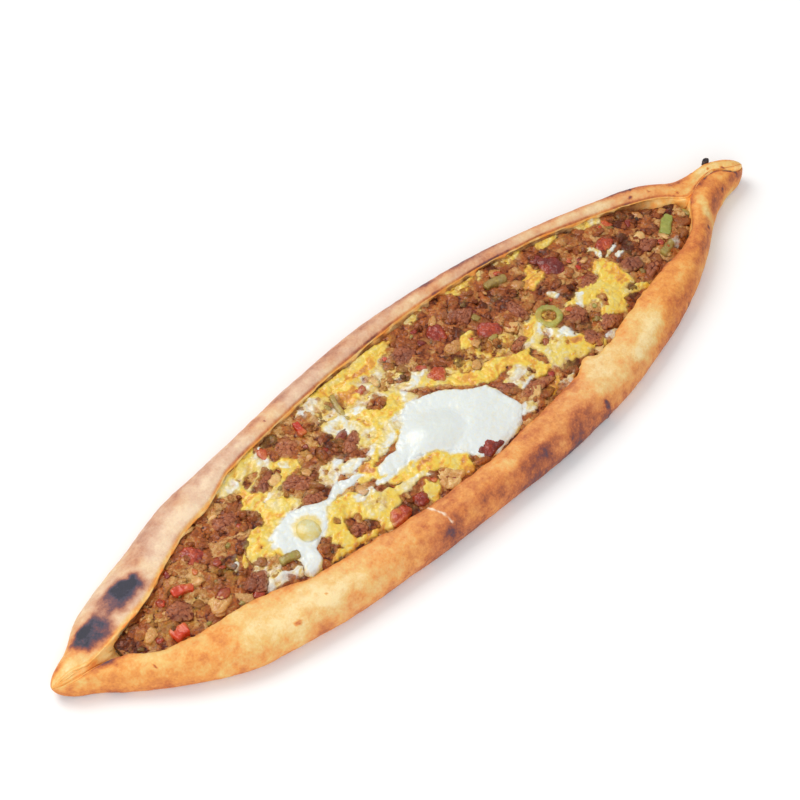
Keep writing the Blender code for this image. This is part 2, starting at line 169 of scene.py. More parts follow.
# The boat from above: how far each side reaches, and the edge of each fold.
near_side = line(
    (-END, -3.5), (-234, -9), (-218, -22), (-198, -37), (-158, -56.3), (-100, -64.6),
    (-45, -SIDE), (20, -66), (60, -62.8), (83, -59.6), (124, -48.4), (164, -33.2),
    (186, -21), (204, -8.6), (215, -2.4), (226, 1.4), (235, 3.4), (END, 5),
)
far_side = line(
    (-END, 8), (-232, 12.5), (-216, 24.3), (-198, 31.6), (-173, 38.4), (-143, 47.8),
    (-102, 53.2), (-42, 62), (18, SIDE), (78, 62.3), (118, 54.6), (158, 45.5),
    (180, 41.6), (196, 35), (207, 28), (217, 25.2), (229, 24.2), (238, 20.5), (END, 15.5),
)
near_lip = line(
    (-END, -3.5), (-236, -5.5), (-226, -6), (-214, -9.8), (-196, -21.5), (-176, -26.8),
    (-156, -28.8), (-136, -32.3), (-116, -40), (-86, -42.8), (-46, -47), (-6, -46.8),
    (34, -42.3), (66, -37.5), (76, -32.5), (85, -35), (114, -27), (154, -16.8),
    (174, -12.8), (186, -7), (194, 0), (202.5, 9), (218.5, 13.3), (225, 13.6),
    (231, 10.3), (237, 7.3), (END, 6),
)
far_lip = line(
    (-END, 0.4), (-236, 0.2), (-226, -2.6), (-204, 1.2), (-186, 5.3), (-166, 14.8),
    (-146, 23.3), (-126, 28.3), (-106, 37.3), (-66, 43.8), (-26, 48.6), (34, 51.8),
    (74, 49.8), (114, 44.3), (154, 33.3), (185.5, 22.4), (193, 17.8), (198, 13),
    (202.5, 10.2), (218.5, 14.3), (225, 14.6), (231, 11.3), (237, 8.3), (END, 7),
)
near_crest = line(
    (-END, 13.5), (-215, 16), (-190, 18.5), (-150, 20), (0, RIM_HEIGHT), (150, 20),
    (190, 19), (226, 18), (238, 14.5), (END, 11),
)
far_crest = line(
    (-END, 13), (-215, 16.5), (-185, 18.5), (-150, 19.5), (0, RIM_HEIGHT), (150, 20),
    (190, 18), (205, 17), (225, 17.5), (END, 16),
)
dough_floor = line(
    (-END, 9.5), (-228, 11), (-217, 9.5), (-206, 6.5), (-190, 5.5), (180, 5.5),
    (195, 6.5), (203, 11), (212, 14), (END, 13),
)
# How far the inner face of each fold swells past its edge, or hides under it.
far_swell = line(
    (-END, 0), (-200, -1), (-150, -3), (-125, -1), (-100, 2), (-60, 3), (-20, 4.5),
    (20, 5), (45, 2.5), (70, 4), (95, 2), (115, 4.5), (140, 3.5), (155, -1), (168, 0),
    (185, 3.5), (197, 0), (END, 0),
)
NEAR_SWELL = 1
FLAT_UNDER = 205  # from here on the underside curls up towards each end
NEAR_CURL, FAR_CURL = 1.6, 3

# Half of the dough's cross-section, from under the boat round its fold to the floor inside.
# Outside: part of the fold's width in from its widest point, part of its height. Edge: the
# same width, and height from floor to crest. Inside: distance past the edge beyond the
# swell, height as on the edge, part of the gap it may fill.
OUTSIDE = (
    (0.45, 0), (0.24, 0.025), (0.09, 0.12), (0.012, 0.27), (0, 0.42), (0.05, 0.6),
    (0.2, 0.83), (0.42, 0.97), (0.66, 1), (0.86, 0.965),
)
EDGE = ((0.97, 0.88), (1, 0.82), (0.965, 0.74))
INSIDE = ((0, 0.42, 0.5), (0.8, 0.15, 0.65), (3, 0, 0.8))
# Mesh points between each point of the half section and the next.
FINENESS = (8, 2, 3, 4, 4, 5, 7, 6, 6, 5, 4, 3, 3, 6, 4, 2, 5)
STATIONS = 600  # cross-sections between the rounded ends
TIP_STATIONS, TIP_ANGLE = 10, 0.12  # those in each end, and the angle of its first


def underside(x):
    """Height of the dough's underside: flat, then a parabola up to each end."""
    past = (np.abs(x) - FLAT_UNDER) / (END - FLAT_UNDER)
    return np.where(x < 0, NEAR_CURL, FAR_CURL) * np.maximum(past, 0) ** 2


def half_section(x, side, lip, crest, swell):
    """y and z of one half of each cross-section, from under the boat over the fold to its floor,
    as the three tables above place its points."""
    inward = np.sign(lip - side)
    width = np.abs(lip - side)
    half_gap = (far_lip(x) - near_lip(x)) / 2
    low, bed = underside(x), dough_floor(x)
    rows = [(part * width, low + up * (crest - low)) for part, up in OUTSIDE]
    rows += [(part * width, bed + up * (crest - bed)) for part, up in EDGE]
    for past, up, limit in INSIDE:
        rows.append((width + np.minimum(swell + past, limit * half_gap), bed + up * (crest - bed)))
    y = np.stack([side + inward * row[0] for row in rows], axis=1)
    return y, np.stack([row[1] for row in rows], axis=1)


def near_half(x):
    """The half of the cross-sections at x with the broader fold."""
    return half_section(x, near_side(x), near_lip(x), near_crest(x), NEAR_SWELL)


def far_half(x):
    """The half of the cross-sections at x with the other fold."""
    return half_section(x, far_side(x), far_lip(x), far_crest(x), far_swell(x))


def dough_rings(x):
    """Points of the closed cross-sections, one row for each x. Each end is rounded: its sections
    shrink towards its tip as the radii of a ball do."""
    near_y, near_z = near_half(x)
    far_y, far_z = far_half(x)
    base_y = (near_y[:, :1] + far_y[:, :1]) / 2
    middle_y = (near_y[:, -1:] + far_y[:, -1:]) / 2
    under, bed = underside(x)[:, None], dough_floor(x)[:, None]
    y = np.hstack([base_y, near_y, middle_y, far_y[:, ::-1], base_y])
    z = np.hstack([under, near_z, bed, far_z[:, ::-1], under])
    for tip, radius, at in ((-END, NEAR_TIP_RADIUS, NEAR_TIP), (END, FAR_TIP_RADIUS, FAR_TIP)):
        into = np.clip(1 - np.abs(x - tip) / radius, 0, 1)
        scale = np.sqrt(1 - into**2)[:, None]
        y = at[0] + (y - at[0]) * scale
        z = at[1] + (z - at[1]) * scale
    middle = len(x) // 2
    knots = np.concatenate([[0], np.cumsum(np.hypot(*np.diff([y[middle], z[middle]])))])
    spans = FINENESS + FINENESS[::-1]
    at = np.concatenate([
        start + (stop - start) * np.arange(count) / count
        for start, stop, count in zip(knots, knots[1:], spans)
    ])
    y, z = smooth_curve(knots, y, at), smooth_curve(knots, z, at)
    return np.stack([np.broadcast_to(x[:, None], y.shape), y, z], axis=2)


def jumble(seed, *cells):
    """A number from 0 to 1 for each set of whole numbers, which are multiplied and their bits
    mixed."""
    bits = np.full(np.shape(cells[0]), seed * 7919 + 17, np.uint32)
    for cell in cells:
        bits = (bits ^ cell.astype(np.int64).astype(np.uint32)) * np.uint32(0x9E3779B1)
        bits ^= bits >> np.uint32(15)
    bits = bits * np.uint32(0x85EBCA6B)
    return (bits ^ (bits >> np.uint32(13))) / 2**32


def noise(size, seed, *places):
    """Smooth noise from -1 to 1: a random value at each corner of a lattice, blended between."""
    cells = [np.floor(place / size) for place in places]
    parts = [place / size - cell for place, cell in zip(places, cells)]
    parts = [part * part * (3 - 2 * part) for part in parts]
    total = 0
    for corner in itertools.product((0, 1), repeat=len(places)):
        weight = 1
        for far_corner, part in zip(corner, parts):
            weight = weight * (part if far_corner else 1 - part)
        total = total + weight * jumble(seed, *[c + step for c, step in zip(cells, corner)])
    return 2 * total - 1


def rough(size, seed, *places, octaves=4):
    """Noise with finer noise on it, each layer half as large and half as strong."""
    return sum(noise(size / 2**i, seed + i, *places) / 2**i for i in range(octaves))


def rise(low, high, value):
    """0 below low, 1 above high, and a smooth step between them."""
    t = np.clip((value - low) / (high - low), 0, 1)
    return t * t * (3 - 2 * t)


def turned(u, v, angle):
    """Two coordinates turned by an angle, the first towards the second: the first times its
    cosine less the second times its sine, and the first times its sine plus the second times
    its cosine."""
    c, s = np.cos(angle), np.sin(angle)
    return u * c - v * s, u * s + v * c


def oval(x, y, at_x, at_y, length, width, turn=0):
    """1 at the middle of an oval mark, and 0 at its edge: one less the distance squared."""
    along, across = turned(x - at_x, y - at_y, -math.radians(turn))
    return np.clip(1 - (along / (length / 2)) ** 2 - (across / (width / 2)) ** 2, 0, 1)


def from_line(x, y, *points):
    """Distance from a bent line, seen from above."""
    nearest = np.full(np.shape(x), np.inf)
    for (x0, y0), (x1, y1) in zip(points, points[1:]):
        dx, dy = x1 - x0, y1 - y0
        t = np.clip(((x - x0) * dx + (y - y0) * dy) / (dx * dx + dy * dy), 0, 1)
        nearest = np.minimum(nearest, np.hypot(x - x0 - t * dx, y - y0 - t * dy))
    return nearest


def grid_faces(rows, columns, around=True, first=0):
    """Four-sided faces over a grid of points, which closes on itself along its rows if around."""
    i = np.arange(rows - 1)[:, None] * columns
    j = np.arange(columns if around else columns - 1)
    k = (j + 1) % columns
    corners = np.stack([i + j, i + k, i + columns + k, i + columns + j], axis=-1)
    return first + corners.reshape(-1, 4)


def end_caps(rows, columns):
    """Triangles from each end of such a closed grid to a point. The two points come after the
    grid's own, the one for the first row first."""
    j = np.arange(columns)
    k = (j + 1) % columns
    point, last = np.full(columns, rows * columns), (rows - 1) * columns
    return np.concatenate([
        np.stack([point, k, j], axis=1), np.stack([point + 1, last + j, last + k], axis=1),
    ])


def mesh_object(name, points, faces, look, slot, replaces=(), **attributes):
    """A smooth object from points in millimetres and arrays of faces as point numbers, with
    values kept at its points for its material."""
    mesh = bpy.data.meshes.new(name)
    faces = [np.asarray(group) for group in faces]
    corners = np.concatenate([group.ravel() for group in faces])
    sizes = np.concatenate([np.full(len(group), group.shape[1]) for group in faces])
    mesh.vertices.add(len(points))
    mesh.vertices.foreach_set("co", (MM * points).astype(np.float32).ravel())
    mesh.loops.add(len(corners))
    mesh.loops.foreach_set("vertex_index", corners.astype(np.int32))
    mesh.polygons.add(len(sizes))
    mesh.polygons.foreach_set("loop_start", (np.cumsum(sizes) - sizes).astype(np.int32))
    mesh.update(calc_edges=True)
    mesh.validate()
    mesh.shade_smooth()
    for attribute, values in attributes.items():
        kept = mesh.attributes.new(attribute, "FLOAT", "POINT")
        kept.data.foreach_set("value", np.asarray(values, np.float32).ravel())
    mesh.materials.append(look)
    made = bpy.data.objects.new(name, mesh)
    scene.collection.objects.link(made)
    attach(made, "root")
    if replaces:
        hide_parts(*replaces)


def new_material(name, sockets):
    """A Principled material with its sockets set, with functions that add a node to it and
    join a node's output to one of its sockets."""
    made = bpy.data.materials.new(name)
    made.use_nodes = True
    tree = made.node_tree
    shader = tree.nodes["Principled BSDF"]
    for socket, value in sockets.items():
        shader.inputs[socket].default_value = value

    def add(kind, inputs=(), **settings):
        """A new node, with its settings, and its inputs set to values or joined to outputs."""
        node = tree.nodes.new("ShaderNode" + kind)
        for setting, value in settings.items():
            setattr(node, setting, value)
        for socket, value in dict(inputs).items():
            if isinstance(value, bpy.types.NodeSocket):
                tree.links.new(value, node.inputs[socket])
            else:
                node.inputs[socket].default_value = value
        return node

    def join(source, socket):
        """Joins the output of a node to a socket of the shader."""
        tree.links.new(source, shader.inputs[socket])

    return made, add, join


def speckle(add, size, detail=4, swirl=0.0):
    """The output of a noise texture whose largest marks are size millimetres across."""
    place = add("TexCoord").outputs["Object"]
    return add("TexNoise", {
        "Vector": place, "Scale": 1 / (size * MM), "Detail": detail, "Roughness": 0.6,
        "Distortion": swirl,
    }).outputs["Fac"]


def number(add, operation, *values):
    """One step of arithmetic on node outputs and plain numbers."""
    return add("Math", enumerate(values), operation=operation).outputs["Value"]


def varied(add, value, spread, size, detail=4, swirl=0.0):
    """A value with noise of this spread and size added to it."""
    wave = number(add, "SUBTRACT", speckle(add, size, detail, swirl), 0.5)
    return number(add, "MULTIPLY_ADD", wave, spread, value)


def ramp(add, value, stops):
    """Colours from (place, colour) stops, blended between them."""
    node = add("ValToRGB", {"Fac": value})
    stops_now = node.color_ramp.elements
    while len(stops_now) < len(stops):
        stops_now.new(0.5)
    for stop, (place, colour) in zip(stops_now, stops):
        stop.position, stop.color = place, paint(*colour)
    return node.outputs["Color"]


def mixed(add, part, one, two, blend="MIX"):
    """A colour between two others; each is a node output or a colour on the screen."""
    node = add("Mix", data_type="RGBA", blend_type=blend)
    for socket, value in (("Factor_Float", part), ("A_Color", one), ("B_Color", two)):
        target = next(s for s in node.inputs if s.identifier == socket)
        if isinstance(value, bpy.types.NodeSocket):
            node.id_data.links.new(value, target)
        else:
            target.default_value = paint(*value) if isinstance(value, tuple) else value
    return next(s for s in node.outputs if s.identifier == "Result_Color")


def bumps(add, join, *layers):
    """Fine relief from (size, height) layers of noise, in millimetres."""
    normal = None
    for size, height in layers:
        inputs = {"Height": speckle(add, size, 3), "Strength": 1, "Distance": height * MM}
        if normal is not None:
            inputs["Normal"] = normal
        normal = add("Bump", inputs).outputs["Normal"]
    join(normal, "Normal")


def kept(add, name):
    """A value stored at the points of the mesh."""
    return add("Attribute", attribute_name=name).outputs["Fac"]


# How brown the dough is on top of each fold, from 0 for pale to 1 for burnt.
near_brown = line(
    (-END, 0.34), (-220, 0.36), (-190, 0.4), (-160, 0.29), (-120, 0.28), (-60, 0.47),
    (-20, 0.57), (20, 0.61), (50, 0.56), (85, 0.22), (115, 0.16), (140, 0.44), (170, 0.58),
    (200, 0.54), (225, 0.56), (END, 0.5),
)
far_brown = line(
    (-END, 0.36), (-200, 0.22), (-150, 0.38), (-100, 0.4), (-60, 0.4), (0, 0.46),
    (80, 0.46), (140, 0.43), (175, 0.4), (200, 0.38), (225, 0.38), (END, 0.32),
)
# How much browner than its top the near fold is down its side, from baking and from painted
# shade; below 0 it is paler there.
near_side_brown = line(
    (-END, 0.1), (-80, 0.12), (-20, 0.1), (20, 0.2), (60, 0.2), (90, 0.24), (140, 0.02),
    (180, -0.14), (220, -0.28), (END, -0.2),
)
# Browned and burnt places, and one band of painted shadow: x, y, length, width, turn, and
# how much browner the middle is.
BROWNED_AND_SHADED = (
    (-204, 12, 66, 28, 16, 0.16), (-215.5, 9, 35, 19.5, 8, 0.7), (-191, 15.5, 33, 23, 4, 0.68),
    (-184, 17.5, 16, 10, 10, 0.2), (203, -1, 28, 12, 62, -0.2), (104, -47, 34, 12, 20, -0.16),
    (-128, -50, 60, 12, -8, -0.14), (150, -30, 26, 8, 30, -0.1), (228, 8, 12, 14, 0, -0.12),
    (-165, 31, 40, 16, 25, 0.2), (-221, -7.5, 32, 12, -14, 0.56), (65, -60, 12, 9, 0, 0.06),
    (16, -62, 46, 10, 4, 0.12), (42, -60, 22, 7, 10, 0.08), (90, -56, 40, 8, 18, 0.12),
    # The mark at (60, 61) on the next line is painted shadow along the far fold, not browning.
    (174, 38, 24, 6, -15, 0.18), (60, 61, 110, 9, -4, 0.12), (186, -12, 34, 12, 40, 0.14),
    (230, 20, 10, 6, 0, 0.3), (121, -50, 30, 8, 20, 0.1), (205, 19, 26, 12, -30, 0.12),
    (-236, -4, 16, 5, 0, 0.18),
)
# Small burnt bubbles: x, y, radius, height.
BUBBLES = (
    (-139.5, -54, 1.6, 0.5), (66, -60, 1.8, 0.7), (194, -12.5, 1.1, 0.3), (221, 2, 0.9, 0.3),
    (176, 30.5, 1.2, 0.3), (199.5, 16, 1.0, 0.3), (-74, 47.5, 0.7, 0.2), (181, 35, 1.0, 0.3),
    (225, 17, 0.9, 0.2), (232, 12.5, 0.8, 0.2), (105, 57, 0.7, 0.2), (-120, -52, 0.7, 0.2),
    (216, 22, 0.8, 0.2), (187, 27, 0.7, 0.2), (-205, -26, 0.7, 0.2), (150, -40, 0.8, 0.2),
)
# How far up the far fold's inner wall the heap is banked, from 0 to 1 along the boat.
far_bank = line(
    (-END, 0), (-205, 0), (-180, 0.5), (-150, 0.9), (160, 0.9), (176, 0.2), (END, 0),
)
EGG_DRIP = (-48.8, -47.5), (-48, -52), (-46.3, -56), (-45.6, -61)
TOASTED_LAP = (217.5, 13), (222, 14), (228, 12.8), (231.7, 10.3), (235, 8.4), (236, 5)
# Unevenness: size, strength, seed, how it is drawn out along the boat, and layers of noise.
SWELLS = ((42, 0.55, 1, 0.6, 2), (11, 0.28, 2, 0.8, 3))
MOTTLING = ((34, 0.17, 10, 0.55, 3), (7, 0.09, 11, 0.7, 3))
LOBES, BANKED_LOBES, NEAR_LOBES = 3.6, 2.0, 0.6  # relief inside the far fold and the near one
FLOURED, NEAR_FLOURED, UNDER_FLOURED = 1, 0.18, 0.45


def make_dough():
    """The cross-sections carried along the boat, moved out along their normals by the relief.

    Row numbers follow the half section: 0 under the boat, 1 to 10 up the outside, 11 to 13
    over the edge, 14 to 16 down the inside and 17 in the middle of the floor.
    """
    rise_up = 1 - np.cos(np.linspace(TIP_ANGLE, np.pi / 2, TIP_STATIONS, endpoint=False))
    x = np.concatenate([
        -END + NEAR_TIP_RADIUS * rise_up,
        np.linspace(-END + NEAR_TIP_RADIUS, END - FAR_TIP_RADIUS, STATIONS),
        END - FAR_TIP_RADIUS * rise_up[::-1],
    ])
    points = dough_rings(x)
    count = points.shape[1]
    along = np.gradient(points, axis=0)
    around = np.roll(points, -1, axis=1) - np.roll(points, 1, axis=1)
    normal = np.cross(along, around)
    normal /= np.maximum(np.linalg.norm(normal, axis=2, keepdims=True), 1e-9)
    normal *= np.sign(normal[len(x) // 2, 0, 2]) * -1  # the first point of a ring faces down

    spans = FINENESS + FINENESS[::-1]
    row = np.concatenate([i + np.arange(n) / n for i, n in enumerate(spans)])
    is_far = row > len(FINENESS)
    row = np.where(is_far, 2 * len(FINENESS) - row, row)
    outside = rise(1.5, 3.5, row) * rise(14.5, 12.5, row) + 0 * x[:, None]
    inside = rise(12, 13.5, row) * rise(16.8, 15.5, row) + 0 * x[:, None]
    lip = rise(10.2, 11, row) * rise(12.6, 12, row) + 0 * x[:, None]
    X, Y, Z = points.transpose(2, 0, 1)
    tip_fade = rise(0, 8, END - np.abs(X))

    def uneven(layers):
        """The sum of several layers of noise over the dough."""
        return sum(
            strength * rough(size, seed, drawn * X, Y, Z, octaves=octaves)
            for size, strength, seed, drawn, octaves in layers
        )

    relief = uneven(SWELLS) * outside
    relief += 0.1 * rough(3.2, 3, X, Y, Z, octaves=2) * (outside + inside)
    folds = noise(10, 4, X + 1.5 * noise(7, 6, X, Z), 0.5 * Z, 0 * Z + 3.0 * is_far)
    lobes = 0.45 - np.abs(folds)
    far_lobes = LOBES + (BANKED_LOBES - LOBES) * far_bank(x)[:, None]
    relief += inside * np.where(is_far, far_lobes, NEAR_LOBES) * lobes
    relief += 0.45 * lip * rough(6, 7, X, 0 * X + 5.0 * is_far, octaves=3)
    for at_x, at_y, radius, height in BUBBLES:
        relief += height * np.sqrt(oval(X, Y, at_x, at_y, 2 * radius, 2 * radius)) * outside
    points = points + (relief * tip_fade)[..., None] * normal
    points[..., 2] = np.maximum(points[..., 2], np.minimum(Z, 0.02))
    X, Y, Z = points.transpose(2, 0, 1)

    # Each fold is palest in a band below its edge, and the near one browner down its side, partly
    # by painted shade.
    brown = np.where(is_far, far_brown(x)[:, None], near_brown(x)[:, None])
    brown += np.where(is_far, 0, near_side_brown(x)[:, None]) * rise(7, 4, row)
    brown -= np.where(is_far, 0.2, 0) * rise(1.6, 0.4, np.abs(row - 9.4))
    brown -= np.where(is_far, 0, 0.1) * rise(2.2, 0.6, np.abs(row - 9))
    brown += uneven(MOTTLING)
    # Above the far fold's edge runs a thin toasted line.
    edge_line = rise(0.6, 0.1, np.abs(row - 10.7)) * is_far * rise(-170, -120, x)[:, None]
    brown += 0.16 * edge_line * (0.8 + 0.6 * noise(16, 12, X))
    warp_x = X + 2.2 * rough(9, 20, X, Y, octaves=4)
    warp_y = Y + 2.2 * rough(9, 24, X, Y, octaves=4)
    for *place, strength in BROWNED_AND_SHADED:
        brown += strength * rise(0, 1, oval(warp_x, warp_y, *place)) * (row > 2)
    near_x, near_y = X + 0.5 * noise(1.3, 21, X, Y), Y + 0.5 * noise(1.3, 22, X, Y)
    for at_x, at_y, radius, _ in BUBBLES:
        spot = oval(near_x, near_y, at_x, at_y, 3 * radius, 2.2 * radius, 40 * at_x)
        brown += 0.6 * (1.05 - brown) * rise(0, 0.9, spot) * (row > 2)
    lap = from_line(X, Y, *TOASTED_LAP) + 0.6 * noise(2.5, 25, X, Y)
    brown += 0.3 * rise(1.6, 0.3, lap) * outside
    # The ledge inside the near end stays pale.
    ledge = rise(-203, -222, x)[:, None] * rise(10.9, 11.5, row)
    brown -= 0.16 * ledge
    under = row < 1.6
    brown = np.where(under, 0.5 + 0.2 * rough(26, 15, X, Y, octaves=4), brown)

    # Inside its edge each fold is soaked with butter and egg, and stays pale.
    buttery = rise(10.9, 11.5, row) * np.where(is_far, 1, rise(12.5, 14, row))
    buttery = buttery * (1 - 0.45 * ledge)
    far_flour = FLOURED * rise(-238, -205, X) * rise(220, 110, X)
    near_flour = NEAR_FLOURED * rise(-190, -130, X) * rise(150, 80, X)
    flour = np.where(is_far, far_flour, near_flour) * (0.8 + 0.3 * rough(25, 16, X, Y))
    flour = flour * rise(2.5, 5, row) * rise(11, 10.2, row)
    flour += np.where(under, UNDER_FLOURED + 0.4 * rough(18, 17, X, Y), 0.0)
    # Painted shade on the far fold's inner wall: darker in the creases between its lobes and low
    # down where it meets the heap.
    creases = rise(0, -0.22, lobes + 0.1 * rough(4, 19, X, Z)) * rise(11.9, 12.4, row)
    darkened = is_far * np.maximum(creases, rise(12.7, 13.2, row + 0.3 * rough(5, 23, X, Z)))
    darkened = darkened * rise(-212, -190, X) * rise(192, 176, X)
    from_drip = from_line(X, Y, *EGG_DRIP) + 0.5 * noise(2, 18, X, Y)
    drip = 0.8 * rise(0.9, 0.2, from_drip) * outside

    def with_tips(values):
        """The values, and for each tip the mean of the section next to it."""
        return np.append(values.ravel(), [values[0].mean(), values[-1].mean()])

    tips = np.array([[-END, *NEAR_TIP], [END, *FAR_TIP]])
    faces = grid_faces(len(x), count)[:, ::-1], end_caps(len(x), count)[:, ::-1]
    return np.concatenate([points.reshape(-1, 3), tips]), faces, {
        "brown": with_tips(brown), "flour": with_tips(np.clip(flour, 0, 1)),
        "egg_smear": with_tips(drip), "buttery": with_tips(buttery),
        "darkened": with_tips(darkened),
    }


def dough_material():
    """Baked dough: from pale through golden and brown to burnt black, greyer and duller where
    it is floured, orange where butter soaked in, and darkened by painted shade in the creases of
    the far fold's inner wall and along its foot at the heap."""
    made, add, join = new_material("baked dough", {
        "Roughness": 0.62, "Specular IOR Level": 0.35, "Subsurface Weight": 0.06,
        "Subsurface Radius": (0.004, 0.002, 0.001), "Subsurface Scale": 0.5,
    })
    brown = varied(add, kept(add, "brown"), 0.75, 21, 3)
    brown = varied(add, brown, 0.48, 4.4, 6)
    brown = varied(add, brown, 0.32, 1.3, 4)
    crust_colour = ramp(add, brown, (
        (0, (238, 213, 154)), (0.2, (230, 187, 110)), (0.38, (229, 152, 73)),
        (0.56, (202, 114, 56)), (0.72, (148, 76, 50)), (0.83, (102, 64, 68)),
        (0.92, (70, 64, 76)), (1, (50, 50, 60)),
    ))
    floury = ramp(add, brown, (
        (0, (232, 206, 174)), (0.28, (212, 172, 144)), (0.46, (194, 146, 120)),
        (0.62, (166, 112, 92)), (0.76, (112, 78, 84)), (0.9, (74, 70, 86)), (1, (52, 52, 64)),
    ))
    flour = varied(add, kept(add, "flour"), 0.35, 4, 5)
    colour = mixed(add, flour, crust_colour, floury)
    soaked = ramp(add, speckle(add, 9, 5), (
        (0.3, (255, 140, 52)), (0.46, (255, 186, 94)), (0.6, (255, 218, 146)),
    ))
    butter = number(add, "MULTIPLY", kept(add, "buttery"), varied(add, 1.0, 0.6, 5, 4))
    colour = mixed(add, butter, colour, soaked)
    # Painted shade: dark brown laid in the creases of the far fold's inner wall and along its
    # foot.
    darkening = number(add, "MULTIPLY", kept(add, "darkened"), varied(add, 0.8, 1.2, 5, 5))
    colour = mixed(add, darkening, colour, (112, 56, 24))
    colour = mixed(add, kept(add, "egg_smear"), colour, (244, 232, 208))
    join(colour, "Base Color")
    bumps(add, join, (2.6, 0.5), (0.7, 0.16))
    return made


dough_points, dough_faces, dough_values = make_dough()
mesh_object(
    "pide_dough", dough_points, dough_faces, dough_material(),
    slot="crust", replaces=["crust"], **dough_values,
)

# Behind the lapped end stands a fleck of burnt dough: its middle, and its half-sizes.
BURNT_FLAKE, FLAKE_HALF = (228.8, 22.4, 15.2), (2.2, 1.4, 1.8)


def ball(rows, columns):
    """A unit ball as rings of latitude with a point at each pole: its points and its faces."""
    latitude = np.pi * (np.arange(rows) + 1) / (rows + 1) - np.pi / 2
    longitude = 2 * np.pi * np.arange(columns) / columns
    ring = np.stack([
        np.outer(np.cos(latitude), np.cos(longitude)),
        np.outer(np.cos(latitude), np.sin(longitude)),
        np.outer(np.sin(latitude), np.ones(columns)),
    ], axis=-1).reshape(-1, 3)
    points = np.concatenate([ring, [[0, 0, -1], [0, 0, 1]]])
    return points, grid_faces(rows, columns), end_caps(rows, columns)


def make_flake():
    """A flat ball on end, ragged by noise: the crisp edge of a blister that burnt and broke."""
    points, sides, caps = ball(12, 20)
    points = points * FLAKE_HALF
    points[:-2] *= 1 + 0.4 * rough(1.6, 26, *points[:-2].T)[:, None]
    return points + BURNT_FLAKE, (sides, caps)


burnt_dough, add, join = new_material("burnt dough", {"Roughness": 0.6, "Specular IOR Level": 0.3})
join(ramp(add, speckle(add, 1.5, 4), (
    (0.3, (30, 28, 32)), (0.5, (56, 50, 52)), (0.7, (110, 74, 52)),
)), "Base Color")
bumps(add, join, (1.2, 0.3), (0.4, 0.1))
flake_points, flake_faces = make_flake()
mesh_object("burnt_flake", flake_points, flake_faces, burnt_dough, slot="crust")

# --- Filling --------------------------------------------------------------------------------
# Minced meat fried with tomato, pepper and onion, pressed into one clotted heap in the trough
# of dough. What is finer than rice is relief on one core, oily, and darkened in its creases by
# painted shade; the bits above that size lie on it.
FILLING_START, FILLING_END = -214, 198
GAP = 0.4  # between the solids of the heap and the dough
INTO_DOUGH = 0.7  # how far the core runs on into the dough's face, past the gap
WALL = len(OUTSIDE) + len(EDGE)  # the point of a half section where the heap's top meets it
BANK_HEIGHT, BANK_WIDTH = 3.8, 12  # of the bank along the far fold
BANK_REACH = 3.5  # how far the bank runs on over the slope of the fold's wall
CORE_LOWER = 1.5  # core below the heap's top, which the clots stand on
CORE_STEP, CORE_COLUMNS = 0.7, 150
CORE_INSET, CORE_FOOT = 3, 2  # in from the heap's ends, and of its underside from the walls
filling_rise = line(
    (FILLING_START, 1.5), (-180, 3), (-120, 3.6), (-60, 4.6), (60, 4.6), (120, 4), (170, 3),
    (FILLING_END, 1.5),
)
SWELL_HEIGHT = 0.4  # of the low swells that the spoon left
CLOT_SIZES, CLOT_HEIGHTS = (10, 4.6, 2.1), (1.5, 1.0, 0.5)


def trough(x):
    """y of the two walls where the heap's top meets them, and z there."""
    near_y, near_z = near_half(x)
    far_y, _ = far_half(x)
    return near_y[:, WALL] + GAP, far_y[:, WALL] - GAP, near_z[:, WALL]


trough_x = np.arange(FILLING_START - 6.0, FILLING_END + 6, 0.5)
trough_near, trough_far, trough_edge = trough(trough_x)


def walls(x):
    """y of the heap's two sides at any x."""
    return np.interp(x, trough_x, trough_near), np.interp(x, trough_x, trough_far)


def heap(x, y):
    """Height of the heap: a crown across the trough, with the low swells of a spooned filling,
    banked up along the far fold."""
    near, far = walls(x)
    across = np.clip(2 * (y - near) / (far - near) - 1, -1, 1)
    swells = np.sin(x / 5.3 + 1.3 * np.sin(y / 7.1)) + np.sin(y / 4.1 + x / 11.7)
    bank = BANK_HEIGHT * far_bank(x) * np.clip(1 - (far - y) / BANK_WIDTH, 0, 1.1)
    crown = np.interp(x, trough_x, trough_edge) + filling_rise(x) * (1 - np.abs(across) ** 3)
    return crown + SWELL_HEIGHT * swells * (1 - across**4) + bank


def wander(x, y, reach, size, seed):
    """The two places moved about by noise, so that a plain outline gets a natural edge."""
    moved_x = x + reach * rough(size, seed, x, y, octaves=4)
    moved_y = y + reach * rough(size, seed + 5, x, y, octaves=4)
    return moved_x, moved_y


def clots(size, seed, x, y):
    """Clots grown together: a place belongs to the nearest of the points dropped one to a cell.

    Gives the clot's height, rounded off into the crease where the second nearest point is as
    near, a number for the clot, and how far out of the crease the place is; all from 0 to 1.
    """
    nearest, second = np.full(np.shape(x), 9.0), np.full(np.shape(x), 9.0)
    kind, tall = np.zeros(np.shape(x)), np.zeros(np.shape(x))
    cell_x, cell_y = np.floor(x / size), np.floor(y / size)
    for i, j in itertools.product((-1, 0, 1), repeat=2):
        cell = cell_x + i, cell_y + j
        chance = [jumble(seed + k, *cell) for k in range(5)]
        dx, dy = x / size - cell[0] - chance[0], y / size - cell[1] - chance[1]
        turn, thin = np.pi * chance[2], 0.75 + 0.5 * chance[3]
        along, aside = turned(dx, dy, -turn)
        away = np.hypot(thin * along, aside)
        closer = away < nearest
        second = np.where(closer, nearest, np.minimum(second, away))
        kind, tall = np.where(closer, chance[4], kind), np.where(closer, chance[3], tall)
        nearest = np.where(closer, away, nearest)
    out = np.clip((second - nearest) / 0.4, 0, 1)
    return (0.35 + 0.65 * tall) * np.sqrt(out), kind, out


